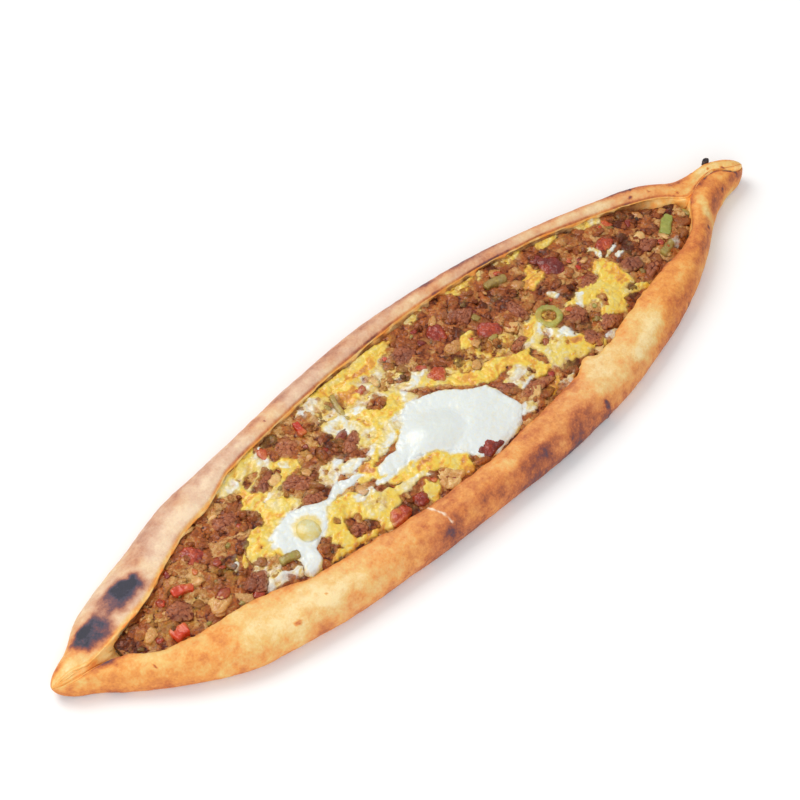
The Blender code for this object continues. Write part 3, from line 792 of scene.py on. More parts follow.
def mince(x, y):
    """Relief of the clotted mince in millimetres, its kind and its painted shade, from three
    sizes.
    """
    large, kind, out = clots(CLOT_SIZES[0], 40, *wander(x, y, 1.6, 7, 30))
    middle, middle_kind, middle_out = clots(CLOT_SIZES[1], 50, *wander(x, y, 0.8, 3, 60))
    small, small_kind, small_out = clots(CLOT_SIZES[2], 70, x, y)
    relief = sum(height * part for height, part in zip(CLOT_HEIGHTS, (large, middle, small)))
    relief = relief + 0.25 * rough(1.6, 80, x, y, octaves=2)
    tone = 0.5 + 0.75 * (kind - 0.5) + 0.55 * (middle_kind - 0.5) + 0.25 * (small_kind - 0.5)
    # How far each place lies out of the painted shade in the creases between clots, from 0 to 1.
    depth = rise(0, 0.5, out) * 0.45 + rise(0, 0.6, middle_out) * 0.35 + 0.2 * small_out
    return relief, tone, depth * rise(-0.6, 1.4, relief)


# Where the beaten and broken eggs ran before they set: x, y, length, width, turn, how much of
# the surface they cover and how yellow they are. Each is laid over those before it.
EGG_FILM = (
    (-168, -8, 80, 24, 0, 0.22, 0.6), (-128, -14, 14, 34, 0, 0.45, 0.35),
    (-125, -28, 24, 9, -15, 0.6, 0.12), (35, 7, 66, 16, -3, 0.45, 0.6),
    (-95, 8, 44, 26, 0, 0.6, 0.38), (-25, 30, 84, 40, 3, 0.72, 0.36),
    (4, 32, 22, 30, 0, 0.42, 0.4), (118, -4, 60, 26, 0, 0.4, 0.5), (72, -10, 34, 42, 0, 0.8, 0.45),
    (-118, -6, 34, 18, 10, 1, 0.62), (-109, 17, 50, 10, 88, 1, 0.68),
    (-109, 34, 22, 9, 20, 1, 0.92), (-104, 3, 28, 15, 0, 0.85, 0.55),
    (-96, 31, 30, 13, 35, 0.72, 0.42), (-88, 30, 26, 10, 75, 0.8, 0.26),
    (-90, 17, 16, 9, 0, 0.9, 0.72), (-82, 22, 22, 13, -10, 0.9, 0.62),
    (-82.5, 22.5, 9, 7, 0, 0.85, 0.15), (-70, 4, 26, 18, 0, 0.75, 0.25),
    (-80, -24, 52, 34, -15, 1, 0.62), (-66, -19, 15, 11, 0, 0.95, 0.08),
    (-70, -35, 30, 12, -10, 0.95, 0.66), (-94, -36.5, 22, 5, -5, 0.9, 0.78),
    (-40, 15, 30, 30, 20, 0.95, 0.2), (-22, 10, 44, 26, 0, 0.95, 0.24),
    (6, 17, 34, 16, -25, 0.8, 0.26), (-20, 42, 34, 12, 0, 1, 0.95),
    (-27, 36, 18, 9, 60, 0.95, 0.75), (-22, 14, 32, 14, 5, 1, 0.7),
    (-34, 0, 40, 16, 14, 0.95, 0.15), (-40, -5, 38, 7, 12, 1, 0.72),
    (-30, 8, 30, 4.5, 25, 1, 0.58), (-36, 19, 16, 4, -50, 0.9, 0.6),
    (-52, -14, 26, 10, -35, 1, 0.6), (-47, -19, 26, 6, -8, 1, 0.08),
    (-34, -24.5, 42, 8, -10, 1, 0.74), (-17, -30, 26, 13, -45, 1, 0.68),
    (-45, -28, 30, 6, -8, 0.95, 0.28), (-62, -28, 24, 14, 0, 0.9, 0.52),
    (-37, -38, 13, 10, 0, 1, 0.7), (-14, -38, 15, 8, -30, 0.95, 0.65),
    (-54, -8.5, 8, 7, 0, 0.9, 1), (13, 7, 30, 9, -30, 0.85, 0.58), (-50, 36, 26, 18, 0, 0.62, 0.3),
    (38, -5, 48, 11, -12, 1, 0.68), (55, -14, 20, 22, 0, 1, 0.62),
    (45, -17, 20, 13, 0, 0.78, 0.22), (70, 2, 22, 8, 10, 0.95, 0.66),
    (42, 17, 15, 10, 25, 0.95, 0.62), (55, -32, 14, 7, 30, 0.9, 0.9),
    (62, -34, 18, 6, 15, 0.65, 0.2), (34, -33, 16, 9, 0, 0.8, 0.2),
    (80, -19, 30, 22, -30, 0.95, 0.5), (88, -22, 28, 9, -50, 0.95, 0.66),
    (76, -4, 12, 9, 40, 0.9, 0.2), (84, -11, 14, 9, -20, 0.92, 0.14),
    (117, -4, 44, 17, -5, 1, 0.62), (131, -1, 15, 16, 0, 1, 0.82), (130, 7, 12, 14, 0, 0.9, 0.66),
    (118, -15, 34, 11, 10, 0.95, 0.55), (104, 0, 5, 12, -30, 0.95, 0.1),
    (107, -11, 8, 6, 60, 0.75, 0.14), (96.5, 11, 7, 5, -30, 0.7, 0.14),
    (98, 28, 20, 13, 30, 0.88, 0.76), (134, 16, 14, 4.5, 65, 0.95, 0.16),
    (142, 12, 16, 3.5, 20, 0.95, 0.14), (144, 6, 9, 4, 35, 0.8, 0.12),
    (138, -16, 16, 7, 0, 0.9, 0.5), (86, 0.5, 16, 14, 0, 0.55, 0.6),
    (102, -27, 14, 8, 0, 0.65, 0.2), (-136, -8, 12, 5, 60, 0.9, 0.68),
    (174, -6, 9, 4, 20, 0.8, 0.1), (-142, -5, 8, 6, 0, 0.6, 0.1), (-20, 47, 74, 14, 2, 0.95, 0.6),
    (-103, 38, 40, 13, 24, 0.9, 0.5), (-48, 40, 18, 12, 0, 0.7, 0.2),
    (-112, 30, 14, 12, 20, 0.9, 0.3), (31, 50, 16, 9, 0, 0.66, 0.5),
    (66, 49.5, 34, 11, -3, 0.68, 0.56), (97, 46, 24, 10, -12, 0.66, 0.5),
    (121, 41, 13, 9, -16, 0.64, 0.56), (146, 35.5, 20, 9, -22, 0.66, 0.44),
    (-33, -1, 30, 12, 38, 1, 0.26), (-58, -2, 18, 9, 0, 0.9, 0.2), (-30, -21, 34, 6, -8, 1, 0.5),
    # The bare meat between.
    (-97.5, -27, 9, 8, 0, 0.1, 0.5), (-79, -30, 17, 11, -35, 0.1, 0.5),
    (-87, -23, 7, 6, 0, 0.1, 0.5), (-60, 28, 20, 30, 0, 0.15, 0.5), (-67, 17, 16, 16, 0, 0.2, 0.7),
    (-104, -32, 28, 4, -20, 0.2, 0.5), (-23, 21, 13, 9, 10, 0.1, 0.5), (1, 25, 9, 7, 0, 0.1, 0.5),
    (-4.5, 25, 5, 5, 0, 0.1, 0.5), (-54, 12, 20, 10, 35, 0.15, 0.5),
    (98, -13, 26, 22, 0, 0.1, 0.5), (118, 7, 18, 10, 0, 0.1, 0.5), (114, -9.5, 8, 6, 0, 0.1, 0.5),
    (61, -13, 6, 15, 0, 0.2, 0.5), (-112, 25, 5, 6, 0, 0.3, 0.5), (-101, 27, 9, 6, 30, 0.1, 0.5),
    (-95, 19, 20, 8, 25, 0.1, 0.5), (-84, 9, 18, 16, 0, 0.1, 0.5), (-74, 36, 26, 14, 5, 0.1, 0.5),
    (99, 5, 8, 8, 0, 0.3, 0.5),
)


def egg_film(x, y):
    """How much of the heap egg covers and how yellow it is, from 0 to 1. The stains are laid
    one over the other, with edges moved by noise, and the yellow is streaked with white."""
    warp_x, warp_y = wander(x, y, 2.6, 8, 90)
    cover, yellow = np.zeros(np.shape(x)), np.full(np.shape(x), 0.4)
    for *place, strength, tone in EGG_FILM:
        part = rise(0, 0.5, oval(warp_x, warp_y, *place))
        cover, yellow = cover + (strength - cover) * part, yellow + (tone - yellow) * part
    streak_x, streak_y = wander(x, y, 3, 8, 100)
    along, aside = 0.45 * streak_x + 0.5 * streak_y, 1.4 * streak_y - 0.8 * streak_x
    streaks = rough(3.6, 106, along, aside, octaves=2)
    cover = cover + 0.3 * rough(4.4, 110, x, y, octaves=4) - 0.18 * np.maximum(streaks, 0)
    yellow = yellow + 0.22 * streaks + 0.08 * rough(4, 114, x, y)
    return np.clip(cover, 0, 1), np.clip(yellow, 0, 1)


def make_core():
    """Cross-sections of the trough's inside carried along the boat, with the mince on top."""
    x = np.arange(float(FILLING_START + CORE_INSET), FILLING_END - CORE_INSET, CORE_STEP)
    near, far, edge = trough(x)
    across = np.linspace(0, 1, CORE_COLUMNS)
    low_y, high_y = near - INTO_DOUGH, far + INTO_DOUGH + BANK_REACH * far_bank(x)
    top_y = low_y[:, None] + (high_y - low_y)[:, None] * across
    top_x = np.broadcast_to(x[:, None], top_y.shape)
    relief, kind, depth = mince(top_x, top_y)
    cover, yellow = egg_film(top_x, top_y)
    top_z = heap(top_x, top_y) - CORE_LOWER + relief
    bed = dough_floor(x) + GAP
    y = np.column_stack([
        (near + far) / 2, near + CORE_FOOT, top_y[:, 0], top_y, top_y[:, -1], far - CORE_FOOT,
    ])
    z = np.column_stack([bed, bed, (bed + edge) / 2, top_z, (bed + edge) / 2, bed])
    points = np.stack([np.broadcast_to(x[:, None], y.shape), y, z], axis=2)
    ends = points[[0, -1]].mean(axis=1)

    def spread(values):
        """Values on top of the core, with none on its other sides and its ends."""
        ring = np.zeros(y.shape)
        ring[:, 3:-2] = values
        return np.append(ring.ravel(), [0, 0])

    faces = grid_faces(*y.shape)[:, ::-1], end_caps(*y.shape)[:, ::-1]
    return np.concatenate([points.reshape(-1, 3), ends]), faces, {
        "kind": spread(kind), "depth": spread(depth), "egg": spread(cover * (1 - 0.5 * depth)),
        "yellow": spread(yellow),
    }


EGG_COLOURS = (
    (0, (216, 222, 220)), (0.14, (222, 218, 196)), (0.28, (218, 200, 140)), (0.46, (222, 198, 98)),
    (0.64, (228, 194, 66)), (0.82, (222, 158, 46)), (1, (190, 120, 50)),
)


def meat_material(name, fineness, fleshy=0.0):
    """Fried mince: browns that turn orange with oil or dull purple, with painted shade in its
    creases and under its bits, and a thin film of egg dried on where the eggs ran."""
    made, add, join = new_material(name, {
        "Specular IOR Level": 0.2, "Coat Weight": 0.32, "Coat Roughness": 0.08,
        "Subsurface Weight": 0.05, "Subsurface Radius": (0.002, 0.001, 0.0006),
        "Subsurface Scale": 0.5,
    })
    kind = varied(add, kept(add, "kind"), 1.15, 1.9 * fineness, 6)
    colour = ramp(add, kind, (
        (0, (96, 38, 6)), (0.16, (132, 60, 16)), (0.32, (166, 86, 34)),
        (0.44, (148, 82, 48)), (0.56, (188, 98, 30)), (0.68, (178, 106, 52)),
        (0.84, (202, 142, 76)), (1, (216, 168, 108)),
    ))
    oil = varied(add, -0.2, 1.7, 26, 5)
    colour = mixed(add, oil, colour, (186, 94, 30))
    colour = mixed(add, fleshy, colour, (176, 108, 80))
    egg = ramp(add, varied(add, kept(add, "yellow"), 0.55, 6, 6, 2.5), EGG_COLOURS)
    film = number(add, "MULTIPLY", kept(add, "egg"), varied(add, 0.9, 2.6, 2.6, 6, 1))
    colour = mixed(add, film, colour, egg)
    # Painted shade: the colour is multiplied darker where this value is low, in creases and under
    # bits.
    shade = varied(add, kept(add, "depth"), 0.9, 1.1 * fineness, 5)
    dark = ramp(add, shade, ((0, (96, 36, 8)), (0.22, (176, 126, 88)), (0.5, (255, 255, 255))))
    join(mixed(add, 1.0, colour, dark, "MULTIPLY"), "Base Color")
    join(varied(add, 0.4, 0.4, 3, 3), "Roughness")
    bumps(add, join, (1.6 * fineness, 1.3), (0.5 * fineness, 0.5))
    return made


core_points, core_faces, core_values = make_core()
mesh_object(
    "filling_core", core_points, core_faces, meat_material("oily mince", 1),
    slot="filling", replaces=["filling"], **core_values,
)

# --- Eggs -----------------------------------------------------------------------------------
# Two eggs broken over the heap before baking. Each white set where it ran, one yolk held and
# the other burst and marbled the filling yellow, so the egg is one sheet in many pieces:
# thick and smooth in the whites, thin and lumpy over the bits elsewhere.
LARGE_WHITE = (
    (-13, 8.6), (-2, 6.8), (5, 4.6), (13, -0.4), (20, -6.4), (28, -10), (31, -18),
    (32.5, -26), (33, -33), (28, -38), (17, -42), (5, -44), (-4, -42), (-8, -35), (-14, -29),
    (-22, -22), (-34, -20), (-46, -20), (-53, -16), (-48, -10), (-36, -8), (-27, -2),
    (-20, 3.6),
)
SMALL_WHITE = (
    (-120, -12.4), (-117, -6.4), (-110, -2.9), (-100, -0.9), (-93, -2.9), (-88, -6.4),
    (-83, -7.4), (-73, -3.5), (-66, -5), (-57, -8.5), (-57, -10.5), (-77, -10.4),
    (-85, -14.4), (-89, -18.4), (-94, -22.4), (-103, -25.4), (-104, -31.4), (-109, -36.4),
    (-116, -37.4), (-118, -32.4), (-115, -27.4), (-117, -20.4),
)
HIDDEN_YOLK = (-12, -14, 36, 30, 0, 2.2)  # x, y, length, width, turn and height of its bulge
ROUND_YOLK = (-99.8, -14.6, 20, 18, 0, 1.0)
FILM_FROM = 0.48  # cover from which the egg is thick enough to be a sheet of its own
FILM_THICKNESS = 1.0
EGG_SINK, EGG_BURIED = 0.95, 5  # its foot and its hidden underside, below the heap's top
EGG_DIVE = 3  # how steeply its surface dives past its edge, and how deep its own ends lie


def inside(x, y, outline):
    """Distance in from a closed outline, negative outside it: the sign counts the sides that a
    line towards +X from each point crosses."""
    closed = (*outline, outline[0])
    within = np.zeros(np.shape(x), bool)
    for (x0, y0), (x1, y1) in zip(closed, closed[1:]):
        crosses = ((y0 > y) != (y1 > y)) & (x < x0 + (y - y0) * (x1 - x0) / (y1 - y0 + 1e-9))
        within ^= crosses
    distance = from_line(x, y, *closed)
    return np.where(within, distance, -distance)


def egg_sheet(name, window, step, depth_in, slot, node, lift, darkened):
    """A closed slab over a window of the heap. Its top is the heap's plus the egg's thickness,
    and dives under the core where there is none, so that its edge is where the two meet."""
    (x_low, x_high), (y_low, y_high) = window
    xs = np.arange(x_low, x_high, step)
    near, far = walls(xs)
    side_low = np.maximum(y_low, near - INTO_DOUGH)
    side_high = np.minimum(y_high, far + INTO_DOUGH + BANK_REACH * far_bank(xs))
    side_high = np.maximum(side_high, side_low + 1)
    across = np.linspace(0, 1, int((y_high - y_low) / step))
    y = side_low[:, None] + (side_high - side_low)[:, None] * across
    x = np.broadcast_to(xs[:, None], y.shape)
    thickness = depth_in(x, y)
    relief, top_of_heap = mince(x, y)[0], heap(x, y)
    core = top_of_heap - CORE_LOWER + relief
    soft = top_of_heap - EGG_SINK + 0.5 * relief * rise(2.2, 0.9, thickness) + lift
    soft += 0.1 * rough(2.5, 120, x, y, octaves=3)
    top = np.where(thickness > 0, soft + thickness, soft + EGG_DIVE * np.maximum(thickness, -1))
    for edge in (0, -1):
        top[edge, :] = core[edge, :] - EGG_DIVE
        at_wall = (side_low > y_low) if edge == 0 else (side_high < y_high)
        top[:, edge] = np.where(at_wall, top[:, edge], core[:, edge] - EGG_DIVE)
    bottom = top_of_heap - EGG_BURIED
    points = np.concatenate([np.stack([x, y, z], axis=2).reshape(-1, 3) for z in (top, bottom)])
    rows, columns = x.shape
    upper = grid_faces(rows, columns, around=False)
    lower = grid_faces(rows, columns, around=False, first=rows * columns)[:, ::-1]
    numbers = np.arange(rows * columns).reshape(rows, columns)
    border = np.concatenate([
        numbers[0, :-1], numbers[:-1, -1], numbers[-1, :0:-1], numbers[:0:-1, 0],
    ])
    after = np.roll(border, -1)
    sides = np.stack([border, after, after + rows * columns, border + rows * columns], axis=1)
    _, yellow = egg_film(x, y)
    warp_x, warp_y = wander(x, y, 1.2, 5, 124)
    for outline in (LARGE_WHITE, SMALL_WHITE):
        yellow = yellow * (1 - rise(-1.5, 1.5, inside(warp_x, warp_y, outline)))
    yellow = yellow + 0.34 * rise(0.1, 0.7, oval(x, y, *ROUND_YOLK[:5]))
    thin = darkened * rise(1.0, 0.15, thickness)
    mesh_object(
        name, points, (upper[:, ::-1], lower[:, ::-1], sides), set_egg,
        slot=slot, replaces=[node],
        yellow=np.tile(yellow.ravel(), 2), thin=np.tile(thin.ravel(), 2),
        thick=np.tile(rise(2.4, 4, thickness).ravel(), 2),
    )


def egg_material():
    """Set egg: white to deep yellow, with white threads in it and browned thin edges."""
    made, add, join = new_material("set egg", {
        "Specular IOR Level": 0.5, "Coat Weight": 0.25, "Coat Roughness": 0.15,
        "Subsurface Weight": 0.15, "Subsurface Radius": (0.003, 0.0025, 0.0015),
        "Subsurface Scale": 0.6,
    })
    colour = ramp(add, varied(add, kept(add, "yellow"), 0.55, 6, 6, 2.5), EGG_COLOURS)
    colour = mixed(add, number(add, "MULTIPLY", kept(add, "thick"), 0.6), colour, (212, 218, 214))
    darkening = number(add, "MULTIPLY", kept(add, "thin"), varied(add, 0.35, 2.4, 3, 6, 1))
    colour = mixed(add, darkening, colour, (178, 108, 54))
    # White drawn out in threads where the yolk stirred it.
    drawn_out = number(add, "SUBTRACT", 0.85, kept(add, "thick"))
    thread = number(add, "MULTIPLY", varied(add, -0.4, 5.0, 5.5, 5, 3.5), drawn_out)
    colour = mixed(add, thread, colour, (222, 222, 206))
    join(colour, "Base Color")
    join(varied(add, 0.36, 0.25, 5, 3), "Roughness")
    bumps(add, join, (3, 0.3), (0.9, 0.1))
    return made


set_egg = egg_material()


def white_depth(outline, thickness, seed, yolk):
    """Thickness of a white: a round rim, then level, with a bulge where its yolk lies under it."""
    *place, height = yolk

    def depth_in(x, y):
        """That thickness at each place."""
        inward = inside(*wander(x, y, 1.2, 10, seed), outline)
        level = thickness * np.sqrt(np.clip(inward / 4, 0, 1)) * rise(0, 0.5, inward)
        return np.where(inward > 0, level, inward) + height * rise(0, 1, oval(x, y, *place))
    return depth_in


def film_depth(x, y):
    """Thickness of the film: a round rim from where it covers enough, then nearly level."""
    over = (egg_film(x, y)[0] - FILM_FROM) / (1 - FILM_FROM)
    return np.where(over > 0, FILM_THICKNESS * np.clip(over, 0, 1) ** 0.7, 2 * over)


WHITE_STEP, FILM_STEP = 0.5, 0.55  # between the points of a sheet
egg_sheet(
    "egg_white_large_set", ((-57, 40), (-49, 13)), WHITE_STEP,
    white_depth(LARGE_WHITE, 1.8, 130, HIDDEN_YOLK),
    slot="egg_white", node="egg_white_large", lift=0.2, darkened=0.15,
)
egg_sheet(
    "egg_white_small_set", ((-124, -52), (-44, 4)), WHITE_STEP,
    white_depth(SMALL_WHITE, 1.6, 140, ROUND_YOLK),
    slot="egg_white", node="egg_white_small", lift=0.2, darkened=0.15,
)
# The film of burst yolk and thin white, in six sheets that overlap by a few millimetres.
FILM_WINDOWS = (
    ((-142, -58), (-50, 50)), ((-64, 16), (0, 60)), ((10, 66), (-50, 60)),
    ((60, 106), (-50, 60)), ((100, 158), (-50, 60)), ((-64, 16), (-52, 6)),
)
for patch, window in enumerate(FILM_WINDOWS, start=1):
    egg_sheet(
        f"yolk_run_{patch}", window, FILM_STEP, film_depth,
        slot="egg_yolk", node=f"egg_yolk_patch_{patch}", lift=0.02 * patch, darkened=1.0,
    )

# --- Loose bits -----------------------------------------------------------------------------
# Crumbs of fried mince, with chopped onion, tomato and pepper among them, sunk in the heap at
# their true size. Each kind is one piece; where the egg is thick none show.
BITS_FROM, BITS_TO = -208, 192
CRUMB_SPACING, CRUMB_SHARE = 7, 0.4  # a crumb, and a grain, in this share of cells this wide
WALL_MARGIN, WHITE_MARGIN = 1.2, 2  # how far bits stay from the walls and the whites


def scattered(spacing, seed, share):
    """Places over the heap, at random in a share of the cells of a grid, but not on thick egg."""
    x, y = np.meshgrid(
        np.arange(BITS_FROM, BITS_TO, spacing), np.arange(-50, 55, spacing), indexing="ij"
    )
    cells = np.round(x / spacing), np.round(y / spacing)
    x = (x + spacing * (jumble(seed, *cells) - 0.5)).ravel()
    y = (y + spacing * (jumble(seed + 1, *cells) - 0.5)).ravel()
    near, far = walls(x)
    bare = 1 - rise(0.35, 0.75, egg_film(x, y)[0])
    for outline in (LARGE_WHITE, SMALL_WHITE):
        bare = bare * (inside(x, y, outline) < -WHITE_MARGIN)
    chosen = jumble(seed + 2, *cells).ravel() < share * bare
    within = (y > near + WALL_MARGIN) & (y < far - WALL_MARGIN) & chosen
    return x[within], y[within]


def sized(smallest, largest, seed, x, y, power=1):
    """A size for each place at random; the higher the power, the fewer are large."""
    part = jumble(seed, np.round(9 * x), np.round(9 * y))
    return smallest + (largest - smallest) * part**power


def faceted(towards):
    """Reach of a lump cut by flat faces with rounded edges, from how far along the face's own
    direction, over the face's distance, each way points: one over the sixth root of the sum of
    their sixth powers."""
    return 1.05 / np.maximum((np.clip(towards, 0, None) ** 6).sum(axis=-1) ** (1 / 6), 0.75)


def scatter(name, places, sizes, squash, sink, shape, seed, look, slot, uneven):
    """One mesh of many bits. Each is a ball with rounded facets, moved in and out by noise,
    stretched, tipped and turned at random, and set into the heap by its part sink."""
    x, y = places
    count = len(x)
    unit, sides, caps = shape
    chance = np.random.default_rng(seed)
    offset = chance.uniform(-90, 90, (count, 1, 3))
    where = (unit[None] * 1.3 + offset).transpose(2, 0, 1)
    bulge = 1 + uneven * rough(1.0, seed, *where, octaves=2)
    facing = chance.normal(size=(count, 8, 3))
    cut_at = chance.uniform(0.6, 1.1, (count, 8, 1))
    facing /= np.linalg.norm(facing, axis=2, keepdims=True) * cut_at
    bulge = bulge * faceted(np.einsum("pk,cfk->cpf", unit, facing))
    points = unit[None] * bulge[..., None]
    stretch = np.stack([
        chance.uniform(*reach, count) for reach in ((0.9, 1.3), (0.7, 1.0), squash)
    ], axis=1)
    points = points * (sizes[:, None, None] / 2) * stretch[:, None, :]
    tip, turn = chance.uniform(-0.3, 0.3, (count, 1)), chance.uniform(0, 2 * np.pi, (count, 1))
    px, py, pz = points.transpose(2, 0, 1)
    px, pz = turned(px, pz, -tip)
    px, py = turned(px, py, turn)
    relief, kind, _ = mince(x, y)
    z = heap(x, y) - CORE_LOWER + np.maximum(relief, 0.8)
    z = z + sizes / 2 * stretch[:, 2] * (1 - 2 * sink)
    points = np.stack([px + x[:, None], py + y[:, None], pz + z[:, None]], axis=2)
    start = (np.arange(count) * len(unit))[:, None, None]
    faces = [(group[None] + start).reshape(-1, group.shape[1]) for group in (sides, caps)]
    kind = 0.7 * kind + chance.uniform(-0.15, 0.2, count)
    # Painted shade under each bit: the value is lowest on its underside, so the colour is darkest
    # there.
    depth = 0.3 + 0.7 * rise(-0.3, 0.8, unit[None, :, 2] * np.ones((count, 1)))
    cover, yellow = egg_film(points[..., 0], points[..., 1])
    mesh_object(
        name, points.reshape(-1, 3), faces, look, slot=slot, depth=depth, egg=0.4 * cover,
        kind=np.repeat(kind, len(unit)), yellow=yellow,
    )


crumb_meat = meat_material("fried crumbs", 0.8)
x, y = scattered(CRUMB_SPACING, 300, CRUMB_SHARE)
size = sized(3.4, 7.6, 303, x, y, power=1.5)
scatter("meat_crumbs", (x, y), size, (0.35, 0.6), 0.62, ball(6, 10), 306, crumb_meat, "meat", 0.55)
x, y = scattered(CRUMB_SPACING, 310, CRUMB_SHARE)
size = sized(1.6, 3.4, 313, x, y)
scatter("meat_grains", (x, y), size, (0.5, 0.8), 0.2, ball(4, 7), 316, crumb_meat, "meat", 0.4)


def vegetable_material(name, tones, roughness, glow):
    """A soft cooked vegetable: wet, a little translucent, in tones that vary over it, with egg
    dried on where the eggs ran."""
    made, add, join = new_material(name, {
        "Specular IOR Level": 0.35, "Coat Weight": 0.5, "Coat Roughness": 0.06,
        "Subsurface Weight": glow, "Subsurface Radius": (0.003, 0.0015, 0.0008),
        "Subsurface Scale": 0.5,
    })
    kind = varied(add, kept(add, "kind"), 0.95, 3, 5)
    stops = [(i / (len(tones) - 1), tone) for i, tone in enumerate(tones)]
    egg = ramp(add, kept(add, "yellow"), EGG_COLOURS)
    film = number(add, "MULTIPLY", kept(add, "egg"), varied(add, 0.5, 0.9, 2.5, 5))
    join(mixed(add, film, ramp(add, kind, stops), egg), "Base Color")
    join(varied(add, roughness, 0.3, 2, 3), "Roughness")
    bumps(add, join, (1.8, 0.6), (0.5, 0.2))
    return made


soft_onion = vegetable_material(
    "soft onion", ((172, 108, 50), (206, 152, 84), (230, 194, 128)), 0.28, 0.3
)
wet_tomato = vegetable_material(
    "wet tomato", ((104, 22, 10), (142, 38, 16), (186, 70, 28), (206, 118, 54)), 0.26, 0.1
)
red_skin = vegetable_material(
    "red pepper", ((132, 34, 8), (186, 44, 12), (212, 66, 22)), 0.3, 0.12
)
green_skin = vegetable_material(
    "green pepper", ((112, 78, 26), (146, 116, 50), (160, 142, 68), (146, 150, 62)), 0.32, 0.15
)
charred = vegetable_material("char", ((44, 24, 14), (86, 46, 28)), 0.5, 0.0)
SPRINKLED = (
    # name, spacing, share kept, smallest, largest, squash, look, slot
    ("onion_bits", 14, 0.5, 3.0, 7.5, (0.18, 0.3), soft_onion, "onion"),
    ("tomato_bits", 16, 0.45, 3.0, 6.0, (0.22, 0.4), wet_tomato, "tomato"),
    ("red_pepper_bits", 24, 0.45, 2.0, 4.2, (0.3, 0.5), red_skin, "red_pepper"),
    ("green_pepper_bits", 19, 0.45, 2.0, 4.8, (0.3, 0.5), green_skin, "green_pepper"),
    ("charred_bits", 17, 0.3, 0.9, 2.0, (0.4, 0.7), charred, "meat"),
)
for i, (name, spacing, share, smallest, largest, squash, look, slot) in enumerate(SPRINKLED):
    x, y = scattered(spacing, 330 + 10 * i, share)
    size = sized(smallest, largest, 335 + 10 * i, x, y)
    scatter(name, (x, y), size, squash, 0.4, ball(6, 10), 336 + 10 * i, look, slot, 0.5)

# --- Large bits -----------------------------------------------------------------------------
# The chunks that stand out of the heap: slices of meat and clumps of mince, quarters of
# tomato and slices of onion. Each lies just where its solid does, sunk a little in the mince.


def lie_of(node):
    """Middle, turn and half-sizes of a solid: its points' spread along and across its length."""
    points = np.empty(len(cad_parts[node].data.vertices) * 3)
    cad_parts[node].data.vertices.foreach_get("co", points)
    points = points.reshape(-1, 3) / MM
    low, high = points.min(axis=0), points.max(axis=0)
    middle = (low + high) / 2
    flat = points[:, :2] - middle[:2]
    _, _, axes = np.linalg.svd(flat - flat.mean(axis=0), full_matrices=False)
    along, across = flat @ axes[0], flat @ axes[1]
    half = np.array([np.ptp(along) / 2, np.ptp(across) / 2, (high[2] - low[2]) / 2])
    return middle, math.atan2(axes[0, 1], axes[0, 0]), half


CHUNK_GROWS = 1.1  # its reach over its solid's, before its sides are cut
GRAIN_SIZE = 2.7


def chunk(name, node, look, slot, seed, kind, flatness, ragged, crags, grains, sunk):
    """A lump with cut sides, a flattened top and a ragged outline, with the creases of clotted
    mince or the folds of skin on it, and grains of mince this many millimetres high.

    Its height is the ball's to the power flatness, and its reach changes with the angle.
    """
    middle, turn, half = lie_of(node)
    unit, sides, caps = ball(30, 60)
    angle = np.arctan2(unit[:, 1], unit[:, 0])
    around = np.array([np.cos(angle), np.sin(angle)]) + 31.0 * seed
    reach = 1 + ragged * rough(0.9, seed, *around, octaves=3)
    chance = np.random.default_rng(seed)
    faces_at = 2 * np.pi * (np.arange(6) + chance.uniform(-0.35, 0.35, 6)) / 6
    reach *= faceted(np.cos(angle[:, None] - faces_at) / chance.uniform(0.72, 1, 6))
    points = unit * half * CHUNK_GROWS
    points[:, :2] *= reach[:, None]
    points[:, 2] = np.sign(unit[:, 2]) * np.abs(unit[:, 2]) ** flatness * half[2]
    px, py, pz = points.T
    px, py = turned(px, py, turn)
    x, y = px + middle[0], py + middle[1]
    creases, tone, out = mince(x + 90.0, y + 7.0 * seed)
    grain, _, grain_out = clots(GRAIN_SIZE, seed + 7, *wander(x, y, 0.5, 2, seed + 9))
    relief = grains * (grain - 0.6) + crags * (creases - 1.8)
    relief = relief + 0.3 * crags * rough(3, seed + 3, x, y, pz, octaves=3)
    pz = pz + rise(-0.2, 0.5, unit[:, 2]) * relief
    cover, yellow = egg_film(x, y)
    points = np.stack([x, y, pz + middle[2] - sunk], axis=1)
    # Painted shade: darker on each chunk's underside, in its creases and between its grains.
    depth = rise(-0.2, 0.55, unit[:, 2]) * (1 - crags + crags * out)
    depth = depth * (1 - min(grains, 0.7) * (1 - grain_out))
    film = 0.7 * cover * rise(0.85, 0.3, unit[:, 2])
    mesh_object(
        name, points, (sides, caps), look, slot=slot, replaces=[node],
        kind=kind + 0.5 * (tone - 0.5), depth=depth, egg=film, yellow=yellow,
    )


CHUNKS = (
    # slot, what a piece is called, look, seed, and the seed, least and range of its tone,
    # then flatness, ragged, crags, grains, sunk
    ("meat", "chunk", meat_material("chunks of meat", 1.2, 0.5), 410, (401, 0.15, 0.4),
     0.75, 0.14, 0.7, 0.8, 1.1),
    ("tomato", "chunk", wet_tomato, 440, (402, 0.15, 0.5), 0.62, 0.2, 0.75, 0, 0.7),
    ("onion", "slice", soft_onion, 460, (403, 0.5, 0), 0.8, 0.26, 0.8, 0, 1.1),
)
for slot, called, look, seed, (tone_seed, least, reach), *shape in CHUNKS:
    for i, node in enumerate(sorted(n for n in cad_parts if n[:-3] == slot)):
        tone = least + reach * jumble(tone_seed, np.array([i]))[0]
        chunk(f"{node}_{called}", node, look, slot, seed + i, tone, *shape)

# --- Held yolk ------------------------------------------------------------------------------
# The yolk of the small egg, set firm: a flattened ball, greenish yellow under the film of
# white that crept over it, with a paler ring round its foot.


